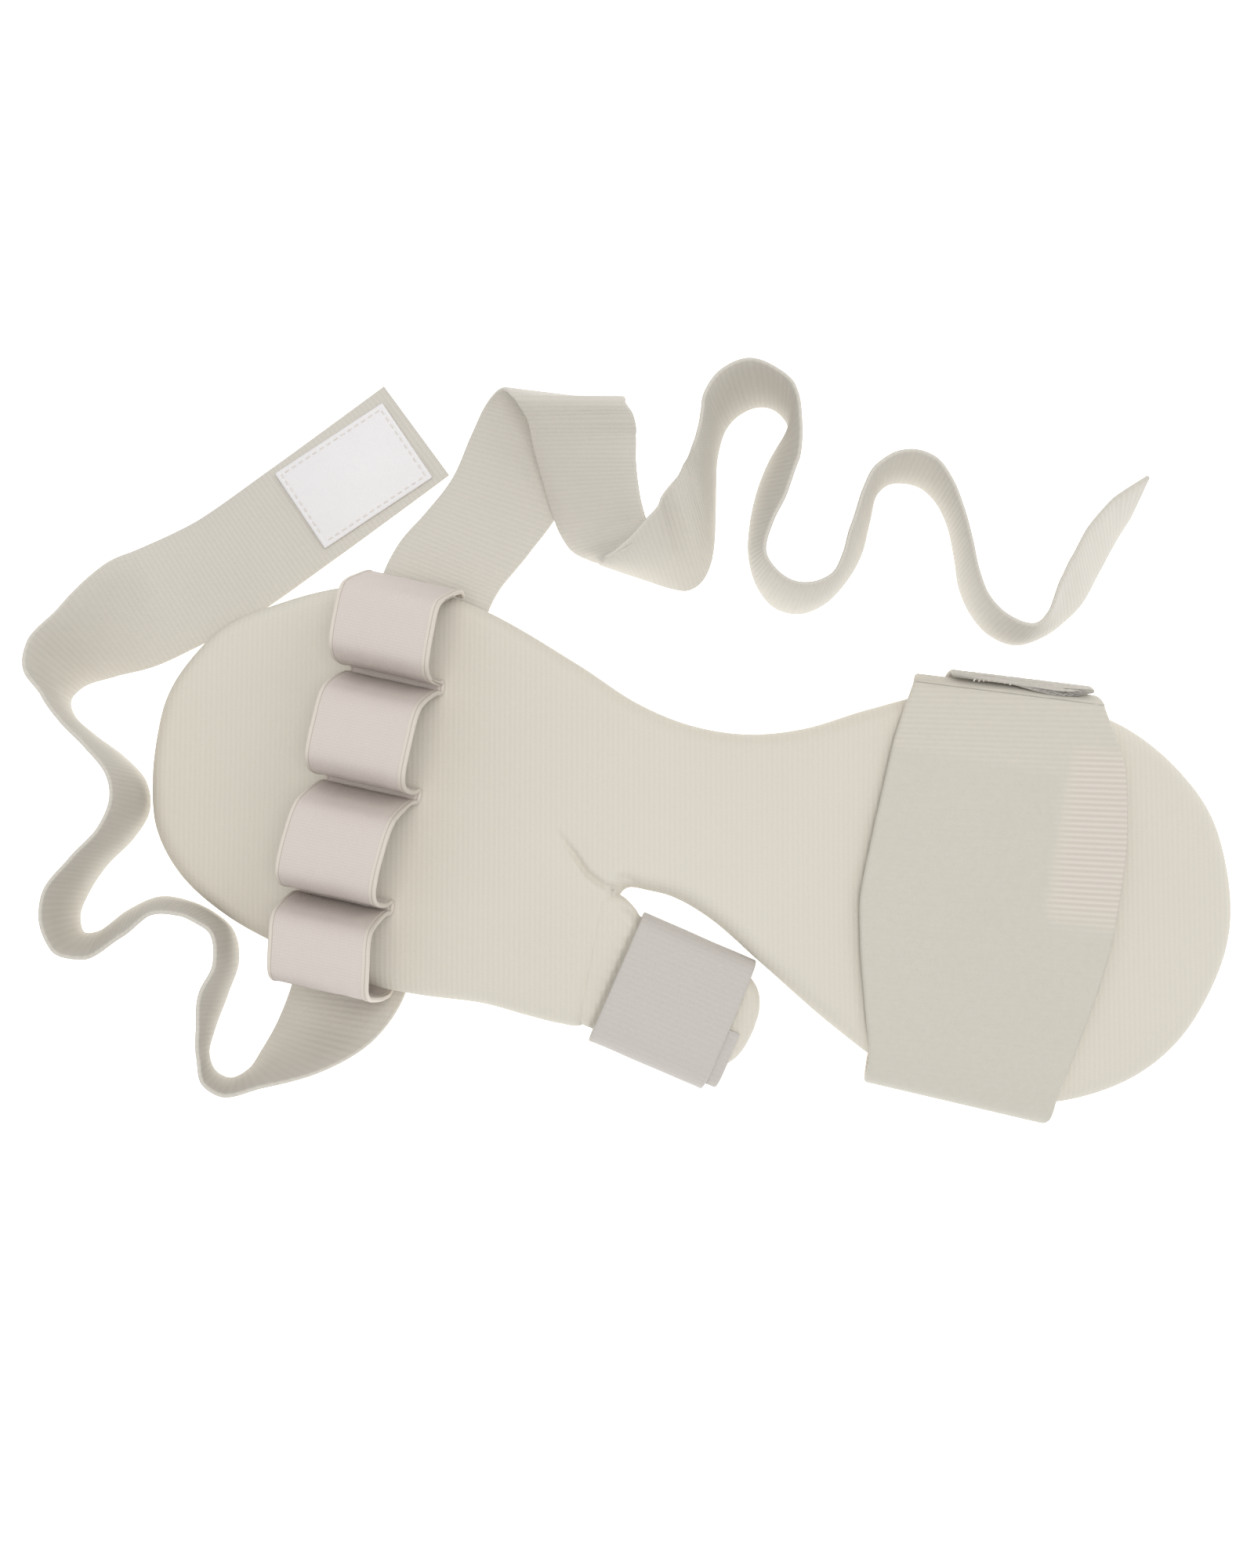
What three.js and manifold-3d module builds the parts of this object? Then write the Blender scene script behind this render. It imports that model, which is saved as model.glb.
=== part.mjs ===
// Resting hand splint, palm side up on a table, with its straps laid out as they fell.
//
// Millimetres, +Z up, the table at z = 0. +X runs along the board from the fingertips to the
// forearm, +Y towards the little finger's side. The board's middle is the drawing's zero, and the
// finished group is moved so that its zero is the middle of the whole object's footprint.

import * as THREE from 'three';
import { mergeVertices } from 'three/addons/utils/BufferGeometryUtils.js';
import Module from 'manifold-3d';

const wasm = await Module();
wasm.setup();

// Padded board
const BOARD_LENGTH = 358;
const BOARD_WIDTH = 137;
const BOARD_THICKNESS = 12;
const BOARD_RISE = 7;
const CLEARANCE = 0.3;

// Thumb tab, a tongue on the palm's edge that slopes down to the table
const TAB_LENGTH = 49;
const TAB_WIDTH = 39.4;
const TAB_THICKNESS = 10;
const TAB_ROOT = 28;
const TAB_HEADING = -13.6;
const TAB_TIP_ROUND = 15;
const TAB_BEND = 5;
const TAB_SINK = 0.5;

// Finger loops, one elastic strip
const LOOP_WIDTH = 32;
const LOOP_THICKNESS = 1.3;
const LOOP_HEIGHT = 26;
const LOOP_SKEW = 3.2;
const LOOP_HEADING = -2.5;
const LOOP_TUCK = 10;
const LOOP_OVERHANG = 3;
const LOOP_INSET = 0.4;

// Finger strap, webbing that crosses under the loops
const STRAP_WIDTH = 38;
const STRAP_THICKNESS = 1.3;
const SQUARENESS = 0.2;

// Hook patch on the finger strap's end
const PATCH_LENGTH = 43.5;
const PATCH_WIDTH = 30.8;
const PATCH_THICKNESS = 1.2;
const PATCH_END_MARGIN = 4.5;
const PATCH_TURN = -3;

// Thumb strap, one band wound one turn and a half round the tab
const THUMB_STRAP_WIDTH = 40.5;
const THUMB_STRAP_THICKNESS = 1.5;
const THUMB_STRAP_DRIFT = 4;

// Forearm strap and its closed end
const FOREARM_STRAP_WIDTH = 83;
const FOREARM_STRAP_THICKNESS = 2.2;
const FOREARM_STRAP_EASE = 1.4;
const FOREARM_STRAP_FLARE = 3;
const STRAP_END_WIDTH = 47;
const STRAP_END_THICKNESS = 1.6;

// Gaps under the bands, in clearances
const LOOP_GAP = 1.7;
const THUMB_STRAP_GAP = 1.6;
const STRAP_END_GAP = 2.4;

const RADIANS = Math.PI / 180;

// Outline of the board in plan: shares of its length and of its width, clockwise from the fingertips
const BOARD_OUTLINE = [
  // along, across
  [-0.503, 0.000],
  [-0.501, 0.105],
  [-0.489, 0.192],
  [-0.462, 0.296],
  [-0.419, 0.371],
  [-0.352, 0.445],
  [-0.285, 0.467],
  [-0.221, 0.440],
  [-0.128, 0.350],
  [-0.070, 0.285],
  [-0.018, 0.255],
  [0.034, 0.258],
  [0.084, 0.295],
  [0.140, 0.369],
  [0.198, 0.435],
  [0.250, 0.461],
  [0.300, 0.467],
  [0.345, 0.456],
  [0.382, 0.430],
  [0.424, 0.370],
  [0.465, 0.270],
  [0.488, 0.150],
  [0.500, 0.015],
  [0.496, -0.110],
  [0.472, -0.275],
  [0.436, -0.385],
  [0.382, -0.466],
  [0.328, -0.499],
  [0.270, -0.497],
  [0.218, -0.470],
  [0.156, -0.392],
  [0.084, -0.278],
  [0.030, -0.193],
  [-0.006, -0.157],
  [-0.027, -0.152],
  [-0.037, -0.175],
  [-0.042, -0.260],
  [-0.051, -0.370],
  [-0.059, -0.450],
  [-0.070, -0.488],
  [-0.090, -0.498],
  [-0.122, -0.492],
  [-0.160, -0.483],
  [-0.222, -0.490],
  [-0.275, -0.484],
  [-0.330, -0.450],
  [-0.406, -0.389],
  [-0.457, -0.311],
  [-0.487, -0.213],
  [-0.499, -0.105],
];

// Height of the board's underside: shares of the length and of the rise at the knuckles
const BOARD_HEIGHTS = [
  // along, height
  [-0.50, 0.00],
  [-0.45, 0.00],
  [-0.38, 0.34],
  [-0.30, 0.76],
  [-0.20, 0.98],
  [-0.08, 1.00],
  [0.03, 0.78],
  [0.10, 0.48],
  [0.15, 0.345],
  [0.20, 0.34],
  [0.50, 0.34],
];

// One finger loop seen along the board: shares of its pitch, of its height and of its skew
const LOOP_PROFILE = [
  // across, height, skew
  [0.045, 0.00, 0.05],
  [0.075, 0.14, 0.35],
  [0.150, 0.40, 0.70],
  [0.290, 0.72, 0.90],
  [0.480, 0.94, 1.00],
  [0.680, 1.00, 1.00],
  [0.860, 0.90, 1.00],
  [0.960, 0.66, 0.95],
  [0.985, 0.36, 0.75],
  [0.975, 0.12, 0.40],
  [0.955, 0.00, 0.10],
];

// The finger strip's last end, round under the board's edge: out and up from the under side in
// shares of its tuck, and shares of the skew
const LOOP_TUCK_ROWS = [
  // across, up, skew
  [0.12, 0.16, 0.3],
  [0.50, 0.00, 0.1],
  [1.40, 0.00, 0.0],
];

// Tacks of the loops, from the index finger's edge to the little finger's: shares of the board
const LOOP_TACKS = [
  // across, along
  [-0.500, -0.2880],
  [-0.292, -0.2975],
  [-0.022, -0.2915],
  [0.241, -0.2885],
  [0.470, -0.2890],
];

// Route of the finger strap's hook end. Its near edge stands on the table: shares of the board's
// length and width, the lift in strap widths, and the heading and lean of the webbing's width.
const HOOK_END_ROUTE = [
  // along, across, lift, heading, lean
  [-0.335, 0.000, 0, -3, 0],
  [-0.338, -0.270, 0, -1, 0],
  [-0.340, -0.500, 0, 6, 0],
  [-0.347, -0.615, 0, 5, 24],
  [-0.357, -0.695, 0, 3, 52],
  [-0.366, -0.748, 0, 10, 70],
  [-0.381, -0.776, 0, 4, 79],
  [-0.397, -0.764, 0, 10, 81],
  [-0.406, -0.724, 0, 30, 80],
  [-0.405, -0.665, 0, 52, 81],
  [-0.399, -0.575, 0, 85, 86],
  [-0.395, -0.490, 0, 0, 88],
  [-0.405, -0.424, 0, 0, 86],
  [-0.426, -0.390, 0, -18, 83],
  [-0.450, -0.374, 0, -18, 78],
  [-0.477, -0.376, 0, -22, 76],
  [-0.503, -0.420, 0, -31, 73],
  [-0.527, -0.484, 0, -30, 74],
  [-0.541, -0.492, 0, -46, 81],
  [-0.548, -0.450, 0, -80, 87],
  [-0.544, -0.392, 0, 135, 87],
  [-0.532, -0.318, 0, 90, 88],
  [-0.513, -0.245, 0, 104, 88],
  [-0.503, -0.172, 0, 144, 87],
  [-0.511, -0.106, 0, 180, 88],
  [-0.534, -0.058, 0, 150, 88],
  [-0.567, -0.015, 0, 50, 87],
  [-0.589, 0.022, 0, 64, 84],
  [-0.595, 0.060, 0, 116, 80],
  [-0.585, 0.100, 0, 129, 71],
  [-0.558, 0.137, 0, 130, 59],
  [-0.524, 0.176, 0, 128, 34],
  [-0.491, 0.235, 0, 132, 8],
  [-0.436, 0.352, 0, 134, 0],
  [-0.378, 0.507, 0, 136, 0],
  [-0.327, 0.648, 0, 136, 0],
  [-0.283, 0.771, 0, 136, 0],
];

// Route of the finger strap's long end: rises from the board, folds back over itself, then waves
const LONG_END_ROUTE = [
  // along, across, lift, heading, lean
  [-0.335, 0.000, 0, -3, 0],
  [-0.332, 0.250, 0, -5, 0],
  [-0.329, 0.482, 0, -9, 0],
  [-0.318, 0.584, 0, -10, 0],
  [-0.298, 0.672, 0.01, -6, 0],
  [-0.279, 0.766, 0.05, -4, 0],
  [-0.268, 0.869, 0.14, -2, 0],
  [-0.257, 0.942, 0.30, 0, 0],
  [-0.243, 0.968, 0.52, 2, 0],
  [-0.229, 0.940, 0.72, 2, 1],
  [-0.214, 0.878, 0.76, 2, 6],
  [-0.203, 0.821, 0.69, 1, 14],
  [-0.193, 0.755, 0.48, 3, 24],
  [-0.180, 0.690, 0.25, 8, 36],
  [-0.162, 0.637, 0.09, 14, 49],
  [-0.145, 0.615, 0.01, 12, 65],
  [-0.122, 0.602, 0, 20, 81],
  [-0.090, 0.591, 0, 130, 79],
  [-0.059, 0.588, 0, 138, 64],
  [-0.041, 0.606, 0, 133, 53],
  [-0.031, 0.650, 0, 136, 51],
  [-0.028, 0.708, 0, 140, 55],
  [-0.029, 0.785, 0, 147, 64],
  [-0.034, 0.861, 0, 151, 71],
  [-0.037, 0.927, 0, 156, 75],
  [-0.034, 1.000, 0, 168, 76],
  [-0.024, 1.044, 0, 167, 76],
  [-0.006, 1.075, 0, 158, 77],
  [0.011, 1.073, 0, 148, 81],
  [0.026, 1.036, 0, 120, 86],
  [0.019, 0.982, 0, -20, 82],
  [0.013, 0.938, 0, -40, 75],
  [0.007, 0.858, 0, -44, 74],
  [0.006, 0.777, 0, -53, 77],
  [0.010, 0.701, 0, -60, 81],
  [0.023, 0.630, 0, -11, 87],
  [0.042, 0.588, 0, 63, 86],
  [0.065, 0.584, 0, 103, 85],
  [0.085, 0.615, 0, 120, 85],
  [0.101, 0.673, 0, 165, 82],
  [0.112, 0.748, 0, 171, 78],
  [0.115, 0.836, 0, 176, 79],
  [0.117, 0.905, 0, 186, 82],
  [0.126, 0.937, 0, 175, 85],
  [0.140, 0.949, 0, 165, 86],
  [0.158, 0.945, 0, 180, 87],
  [0.175, 0.916, 0, 215, 86],
  [0.190, 0.861, 0, 220, 85],
  [0.201, 0.788, 0, 216, 86],
  [0.211, 0.710, 0, 192, 87],
  [0.226, 0.652, 0, 188, 86],
  [0.245, 0.613, 0, 180, 86],
  [0.270, 0.600, 0, 177, 85],
  [0.296, 0.635, 0, 178, 77],
  [0.314, 0.685, 0, 162, 70],
  [0.325, 0.728, 0, 156, 67],
  [0.336, 0.810, 0, 160, 67],
  [0.347, 0.894, 0, 160, 71],
  [0.357, 0.958, 0, 140, 79],
];

// Thumb strap, wound from under its own end on top, round the tab and over itself: shares of the
// tab's flat, degrees turned round its edges, layers out and shares of the drift along the tab
const THUMB_STRAP_TURNS = [
  // across, turned, layers, drift
  [-0.15, 90, 0, 1],
  [-0.60, 90, 0, 1],
  [-1.00, 90, 0, 1],
  [-1.00, 120, 0, 1],
  [-1.00, 150, 0, 1],
  [-1.00, 180, 0, 1],
  [-1.00, 210, 0, 1],
  [-1.00, 240, 0, 1],
  [-1.00, 270, 0, 0.9],
  [0.00, 270, 0, 0.6],
  [1.00, 270, 0, 0.1],
  [1.00, 300, 0, 0],
  [1.00, 330, 0, 0],
  [1.00, 360, 0, 0],
  [1.00, 390, 0, 0],
  [1.00, 420, 0.1, 0],
  [1.00, 450, 0.3, 0],
  [0.40, 450, 0.9, 0],
  [-0.40, 450, 1.1, 0],
  [-1.00, 450, 1.1, 0],
  [-1.00, 480, 1.1, 0],
  [-1.00, 510, 1.1, 0],
  [-1.00, 540, 1.1, 0],
  [-1.00, 570, 1.1, 0],
  [-1.00, 600, 1.1, 0],
  [-1.00, 630, 1.1, 0],
  [-0.30, 630, 1.1, 0],
];

// Forearm strap, once round the board: the height follows the board's section. The edges are
// shares of the strap's width from its middle line, and across is a share of the board's width.
const FOREARM_STRAP_ROWS = [
  // across, side of the board, ease, forearm edge, wrist edge
  [0.455, 1, 0.2, 0.33, -0.43],
  [0.310, 1, 0.7, 0.45, -0.47],
  [0.110, 1, 1.0, 0.50, -0.49],
  [-0.060, 1, 1.0, 0.50, -0.50],
  [-0.190, 1, 0.9, 0.475, -0.47],
  [-0.340, 1, 0.6, 0.425, -0.41],
  [-0.455, 1, 0.2, 0.385, -0.36],
  [-0.460, -1, 0.0, 0.360, -0.34],
  [-0.410, -1, 0.0, 0.350, -0.34],
  [0.000, -1, 0.0, 0.330, -0.36],
  [0.410, -1, 0.0, 0.300, -0.39],
  [0.460, -1, 0.0, 0.300, -0.40],
];
const FOREARM_STRAP_ALONG = 0.2745;

// Closed end of the forearm strap, out from its seat in its own thicknesses, and up to the board's top
const STRAP_END_ROWS = [
  // out, up
  [-0.625, 0.08],
  [0.125, 0.26],
  [0.375, 0.56],
  [0.250, 0.82],
  [-0.375, 1.04],
];

// Curves through tables

function curveThrough(points, closed) {
  return new THREE.CatmullRomCurve3(points, closed, 'centripetal');
}

function pointsRound(closedCurve, count) {
  return closedCurve.getSpacedPoints(count).slice(0, -1);
}

function valueAt(table, x) {
  const last = table.length - 1;
  if (x <= table[0][0]) {
    return table[0][1];
  }
  for (let i = 0; i < last; i += 1) {
    const [x0, y0] = table[i];
    const [x1, y1] = table[i + 1];
    if (x <= x1) {
      const before = table[Math.max(i - 1, 0)];
      const after = table[Math.min(i + 2, last)];
      const slope0 = (y1 - before[1]) / (x1 - before[0]);
      const slope1 = (after[1] - y0) / (after[0] - x0);
      const h = x1 - x0;
      const t = (x - x0) / h;
      const rise = y1 - y0;
      const a = slope0 * h - rise;
      const b = rise - slope1 * h;
      return y0 + t * rise + t * (1 - t) * (a * (1 - t) + b * t);
    }
  }
  return table[last][1];
}

// Closed solids from rings of points, with a fan on each end, or joined into a loop

function solidFromRings(rings, closed) {
  const count = rings[0].length;
  const vertices = rings.flat();
  const triangles = [];
  const bands = closed ? rings.length : rings.length - 1;
  for (let i = 0; i < bands; i += 1) {
    const here = i * count;
    const next = ((i + 1) % rings.length) * count;
    for (let j = 0; j < count; j += 1) {
      const k = (j + 1) % count;
      triangles.push(here + j, here + k, next + k);
      triangles.push(here + j, next + k, next + j);
    }
  }
  if (!closed) {
    for (const [ring, flip] of [[0, true], [rings.length - 1, false]]) {
      const middle = new THREE.Vector3();
      for (const point of rings[ring]) {
        middle.addScaledVector(point, 1 / count);
      }
      const tip = vertices.push(middle) - 1;
      for (let j = 0; j < count; j += 1) {
        const a = ring * count + j;
        const b = ring * count + ((j + 1) % count);
        triangles.push(flip ? b : a, flip ? a : b, tip);
      }
    }
  }
  const geometry = new THREE.BufferGeometry();
  const positions = vertices.flatMap((point) => [point.x, point.y, point.z]);
  geometry.setAttribute('position', new THREE.Float32BufferAttribute(positions, 3));
  geometry.setIndex(triangles);
  return facingOut(geometry);
}

function facingOut(geometry) {
  const p = geometry.getAttribute('position');
  const index = geometry.index.array;
  const a = new THREE.Vector3();
  const b = new THREE.Vector3();
  const c = new THREE.Vector3();
  let volume = 0;
  for (let i = 0; i < index.length; i += 3) {
    a.fromBufferAttribute(p, index[i]);
    b.fromBufferAttribute(p, index[i + 1]);
    c.fromBufferAttribute(p, index[i + 2]);
    volume += a.dot(b.cross(c));
  }
  if (volume < 0) {
    for (let i = 0; i < index.length; i += 3) {
      [index[i + 1], index[i + 2]] = [index[i + 2], index[i + 1]];
    }
  }
  return geometry;
}

function joined(first, second) {
  const solids = [first, second].map((geometry) => {
    const welded = mergeVertices(geometry, 1e-4);
    return new wasm.Manifold(new wasm.Mesh({
      numProp: 3,
      vertProperties: new Float32Array(welded.getAttribute('position').array),
      triVerts: new Uint32Array(welded.index.array),
    }));
  });
  const mesh = solids[0].add(solids[1]).getMesh();
  const geometry = new THREE.BufferGeometry();
  geometry.setAttribute('position', new THREE.BufferAttribute(mesh.vertProperties, 3));
  geometry.setIndex(new THREE.BufferAttribute(mesh.triVerts, 1));
  return geometry;
}

// Pads: a plan outline, filled to an even thickness with fully rounded edges

function outlineDistance(outline, x, y) {
  let nearest = Infinity;
  for (let i = 0; i < outline.length; i += 1) {
    const a = outline[i];
    const b = outline[(i + 1) % outline.length];
    const dx = b.x - a.x;
    const dy = b.y - a.y;
    const along = ((x - a.x) * dx + (y - a.y) * dy) / (dx * dx + dy * dy);
    const t = Math.min(Math.max(along, 0), 1);
    nearest = Math.min(nearest, Math.hypot(x - a.x - t * dx, y - a.y - t * dy));
  }
  return nearest;
}

function outlineSpan(outline, x) {
  const crossings = [];
  for (let i = 0; i < outline.length; i += 1) {
    const a = outline[i];
    const b = outline[(i + 1) % outline.length];
    if ((a.x - x) * (b.x - x) <= 0 && a.x !== b.x) {
      crossings.push(a.y + ((x - a.x) / (b.x - a.x)) * (b.y - a.y));
    }
  }
  return [Math.min(...crossings), Math.max(...crossings)];
}

// Shares at which a section's rounded edge, its flat middle and a pad's two ends are cut
const EDGE_STEPS = [0, 0.09, 0.32, 0.64];
const MIDDLE_STEPS = 5;
const END_STEPS = [0.12, 0.5];

// How many points an outline is cut into, and the most sections in a pad's length or width
const BOARD_POINTS = 130;
const BOARD_SECTIONS = 180;
const TAB_POINTS = 48;
const TAB_SECTIONS = 20;

// Sections stand where the outline's evenly spaced points are, closer together on steep stretches
function padStations(curve, count, spacing) {
  const along = pointsRound(curve, count).map((point) => point.x).sort((a, b) => a - b);
  const stations = [];
  for (const x of along) {
    const previous = stations.length ? stations[stations.length - 1] : along[0];
    if (x - previous > spacing && along[along.length - 1] - x > spacing) {
      stations.push(x);
    }
  }
  const first = END_STEPS.map((share) => along[0] + share * spacing);
  const last = END_STEPS.map((share) => along[along.length - 1] - share * spacing).reverse();
  return [...first, ...stations, ...last];
}

function padSolid(curve, thickness, count, spacing, middleHeight, toPlan) {
  const outline = pointsRound(curve, 6 * count);
  const radius = thickness / 2;
  const rings = padStations(curve, count, spacing).map((x) => {
    const [low, high] = outlineSpan(outline, x);
    const edge = Math.min(radius, (high - low) / 3);
    const across = EDGE_STEPS.map((share) => low + share * edge);
    for (let j = 0; j <= MIDDLE_STEPS; j += 1) {
      across.push(low + edge + (j / MIDDLE_STEPS) * (high - low - 2 * edge));
    }
    across.push(...EDGE_STEPS.slice().reverse().map((share) => high - share * edge));
    const section = across.map((y, j) => {
      const onOutline = j === 0 || j === across.length - 1;
      const depth = onOutline ? 0 : Math.min(outlineDistance(outline, x, y) / radius, 1);
      const half = radius * Math.sqrt(1 - (1 - depth) ** 2);
      return { y, half };
    });
    const top = section.map(({ y, half }) => toPlan(x, y, middleHeight(x, y) + half));
    const bottom = section.slice(1, -1).reverse();
    return top.concat(bottom.map(({ y, half }) => toPlan(x, y, middleHeight(x, y) - half)));
  });
  return solidFromRings(rings, false);
}

// Padded board with its thumb tab

function undersideAt(x) {
  return BOARD_RISE * Math.max(valueAt(BOARD_HEIGHTS, x / BOARD_LENGTH), 0);
}

function boardMiddle(x) {
  return undersideAt(x) + BOARD_THICKNESS / 2;
}

const boardCurve = curveThrough(
  BOARD_OUTLINE.map(([along, across]) => new THREE.Vector3(along * BOARD_LENGTH, across * BOARD_WIDTH, 0)),
  true,
);
const boardOutline = pointsRound(boardCurve, 600);

// The tab's own axes: s runs out along it from the band's palm edge, n runs across it
const tabStart = new THREE.Vector3(-0.0445 * BOARD_LENGTH, -0.357 * BOARD_WIDTH, 0);
const tabAlong = new THREE.Vector3(1, 0, 0).applyAxisAngle(new THREE.Vector3(0, 0, 1), TAB_HEADING * RADIANS);
const tabAcross = new THREE.Vector3(-tabAlong.y, tabAlong.x, 0);
const tabRootHeight = boardMiddle(tabStart.x) - TAB_SINK;
const tabTipHeight = TAB_THICKNESS / 2 + 2 * THUMB_STRAP_THICKNESS + 3.5 * CLEARANCE;

function tabMiddle(s) {
  const fall = (tabRootHeight - tabTipHeight) / THUMB_STRAP_WIDTH;
  return tabRootHeight - (fall * (s + Math.hypot(s, TAB_BEND) - TAB_BEND)) / 2;
}

function fromTab(s, n, z) {
  return tabStart.clone().addScaledVector(tabAlong, s).addScaledVector(tabAcross, n).setZ(z);
}

function tabCurve() {
  const half = TAB_WIDTH / 2;
  const straight = TAB_LENGTH - TAB_TIP_ROUND;
  const rows = [
    [-TAB_ROOT, 0.55],
    [-TAB_ROOT + half / 3, 0.94],
    [-TAB_ROOT / 3, 1],
    [straight / 2, 0.98],
    [straight, 0.93],
    [TAB_LENGTH - TAB_TIP_ROUND / 3, 0.70],
    [TAB_LENGTH - TAB_TIP_ROUND / 12, 0.36],
  ];
  const there = rows.map(([s, share]) => new THREE.Vector3(s, share * half, 0));
  const back = rows.map(([s, share]) => new THREE.Vector3(s, -share * half, 0));
  return curveThrough([...there, ...back.reverse()], true);
}

function paddedBoard() {
  const board = padSolid(
    boardCurve,
    BOARD_THICKNESS,
    BOARD_POINTS,
    BOARD_LENGTH / BOARD_SECTIONS,
    boardMiddle,
    (x, y, z) => new THREE.Vector3(x, y, z),
  );
  const tab = padSolid(tabCurve(), TAB_THICKNESS, TAB_POINTS, TAB_WIDTH / TAB_SECTIONS, tabMiddle, fromTab);
  return joined(board, tab);
}

// Ribbons: a flat band swept along a centre line, with its width direction given at each step

function ribbonRings(centres, widths, width, thickness, divisions) {
  const across = Array.from({ length: divisions + 1 }, (_, j) => j / divisions - 0.5);
  return centres.map((centre, i) => {
    const before = centres[Math.max(i - 1, 0)];
    const after = centres[Math.min(i + 1, centres.length - 1)];
    const along = after.clone().sub(before);
    const normal = along.cross(widths[i]).normalize().multiplyScalar(thickness / 2);
    const line = across.map((share) => centre.clone().addScaledVector(widths[i], share * width));
    const top = line.map((point) => point.clone().add(normal));
    return top.concat(line.reverse().map((point) => point.clone().sub(normal)));
  });
}

// The finger strap's halves stand or lie on the table along their route

function strapHalf(route, gap) {
  const bases = [];
  const directions = [];
  for (const [along, across, lift, heading, lean] of route) {
    bases.push(new THREE.Vector3(along * BOARD_LENGTH, across * BOARD_WIDTH, lift * STRAP_WIDTH));
    directions.push(new THREE.Vector3(
      Math.cos(lean * RADIANS) * Math.cos(heading * RADIANS),
      Math.cos(lean * RADIANS) * Math.sin(heading * RADIANS),
      Math.sin(lean * RADIANS),
    ));
  }
  bases[0].y += gap;
  const steps = 2 * (route.length - 1);
  const base = new THREE.CatmullRomCurve3(bases, false, 'centripetal').getPoints(steps);
  const sides = new THREE.CatmullRomCurve3(directions, false, 'centripetal').getPoints(steps);
  const centres = base.map((point, i) => {
    const before = base[Math.max(i - 1, 0)];
    const after = base[Math.min(i + 1, steps)];
    const along = after.clone().sub(before).normalize();
    sides[i].addScaledVector(along, -SQUARENESS * sides[i].dot(along)).normalize();
    return point.clone().addScaledVector(sides[i], STRAP_WIDTH / 2);
  });
  const rings = ribbonRings(centres, sides, STRAP_WIDTH, STRAP_THICKNESS, 2);
  for (const ring of rings) {
    const lowest = Math.min(...ring.map((point) => point.z));
    for (const point of ring) {
      point.z -= Math.min(lowest, 0);
    }
  }
  return { rings, centres, sides };
}

const hookEnd = strapHalf(HOOK_END_ROUTE, -CLEARANCE);
const longEnd = strapHalf(LONG_END_ROUTE, CLEARANCE);

function hookPatch() {
  const last = hookEnd.centres.length - 1;
  const tip = hookEnd.centres[last];
  const along = hookEnd.centres[last - 1].clone().sub(tip).setZ(0).normalize();
  const geometry = new THREE.BoxGeometry(PATCH_LENGTH, PATCH_WIDTH, PATCH_THICKNESS, 2, 2, 1);
  const turn = Math.atan2(-along.y, -along.x) + PATCH_TURN * RADIANS;
  geometry.rotateZ(turn);
  const middle = tip.clone().addScaledVector(along, PATCH_END_MARGIN + PATCH_LENGTH / 2);
  geometry.translate(middle.x, middle.y, STRAP_THICKNESS + CLEARANCE + PATCH_THICKNESS / 2);
  return geometry;
}

// Finger loops: up from the board's edge, four arches with tacks between, and round under the far edge

const loopAcross = new THREE.Vector3(Math.cos(LOOP_HEADING * RADIANS), Math.sin(LOOP_HEADING * RADIANS), 0);

function loopAlong(y) {
  return BOARD_LENGTH * valueAt(LOOP_TACKS, y / BOARD_WIDTH);
}

function loopPoint(y, z, skew) {
  return new THREE.Vector3(loopAlong(y) - skew * LOOP_SKEW, y, z);
}

function boardTopAt(y) {
  return undersideAt(loopAlong(y) + LOOP_WIDTH / 2) + BOARD_THICKNESS;
}

function fingerLoops() {
  const seat = LOOP_GAP * CLEARANCE + LOOP_THICKNESS / 2;
  const [lowEdge, highEdge] = outlineSpan(boardOutline, loopAlong(0));
  const middle = boardMiddle(loopAlong(0));
  const first = highEdge + seat;
  const last = lowEdge - seat - LOOP_OVERHANG;
  const points = [
    loopPoint(first, middle - BOARD_THICKNESS / 6, 0),
    loopPoint(first + LOOP_INSET, middle + BOARD_THICKNESS / 4, 0.1),
  ];
  const between = LOOP_TACKS.slice(1, -1).map(([across]) => across * BOARD_WIDTH);
  const tacks = [first, ...between.reverse(), last];
  for (let i = 0; i < tacks.length - 1; i += 1) {
    const pitch = tacks[i + 1] - tacks[i];
    const isFirst = i === 0;
    const isLast = i === tacks.length - 2;
    const profile = LOOP_PROFILE.slice(isFirst ? 2 : 0, isLast ? -2 : undefined);
    for (const [across, height, skew] of profile) {
      const y = tacks[i] + across * pitch;
      points.push(loopPoint(y, boardTopAt(y) + seat + height * LOOP_HEIGHT, skew));
    }
  }
  const under = (STRAP_THICKNESS + undersideAt(loopAlong(last) - LOOP_WIDTH / 2)) / 2;
  points.push(loopPoint(last, middle, 0.5));
  for (const [across, up, skew] of LOOP_TUCK_ROWS) {
    points.push(loopPoint(last + across * LOOP_TUCK, under + up * LOOP_TUCK, skew));
  }
  const centres = curveThrough(points, false).getPoints(2 * (points.length - 1));
  const widths = centres.map(() => loopAcross);
  return solidFromRings(ribbonRings(centres, widths, LOOP_WIDTH, LOOP_THICKNESS, 1), false);
}

// Thumb strap: wound from under the band on top, round the tab and over itself

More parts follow.
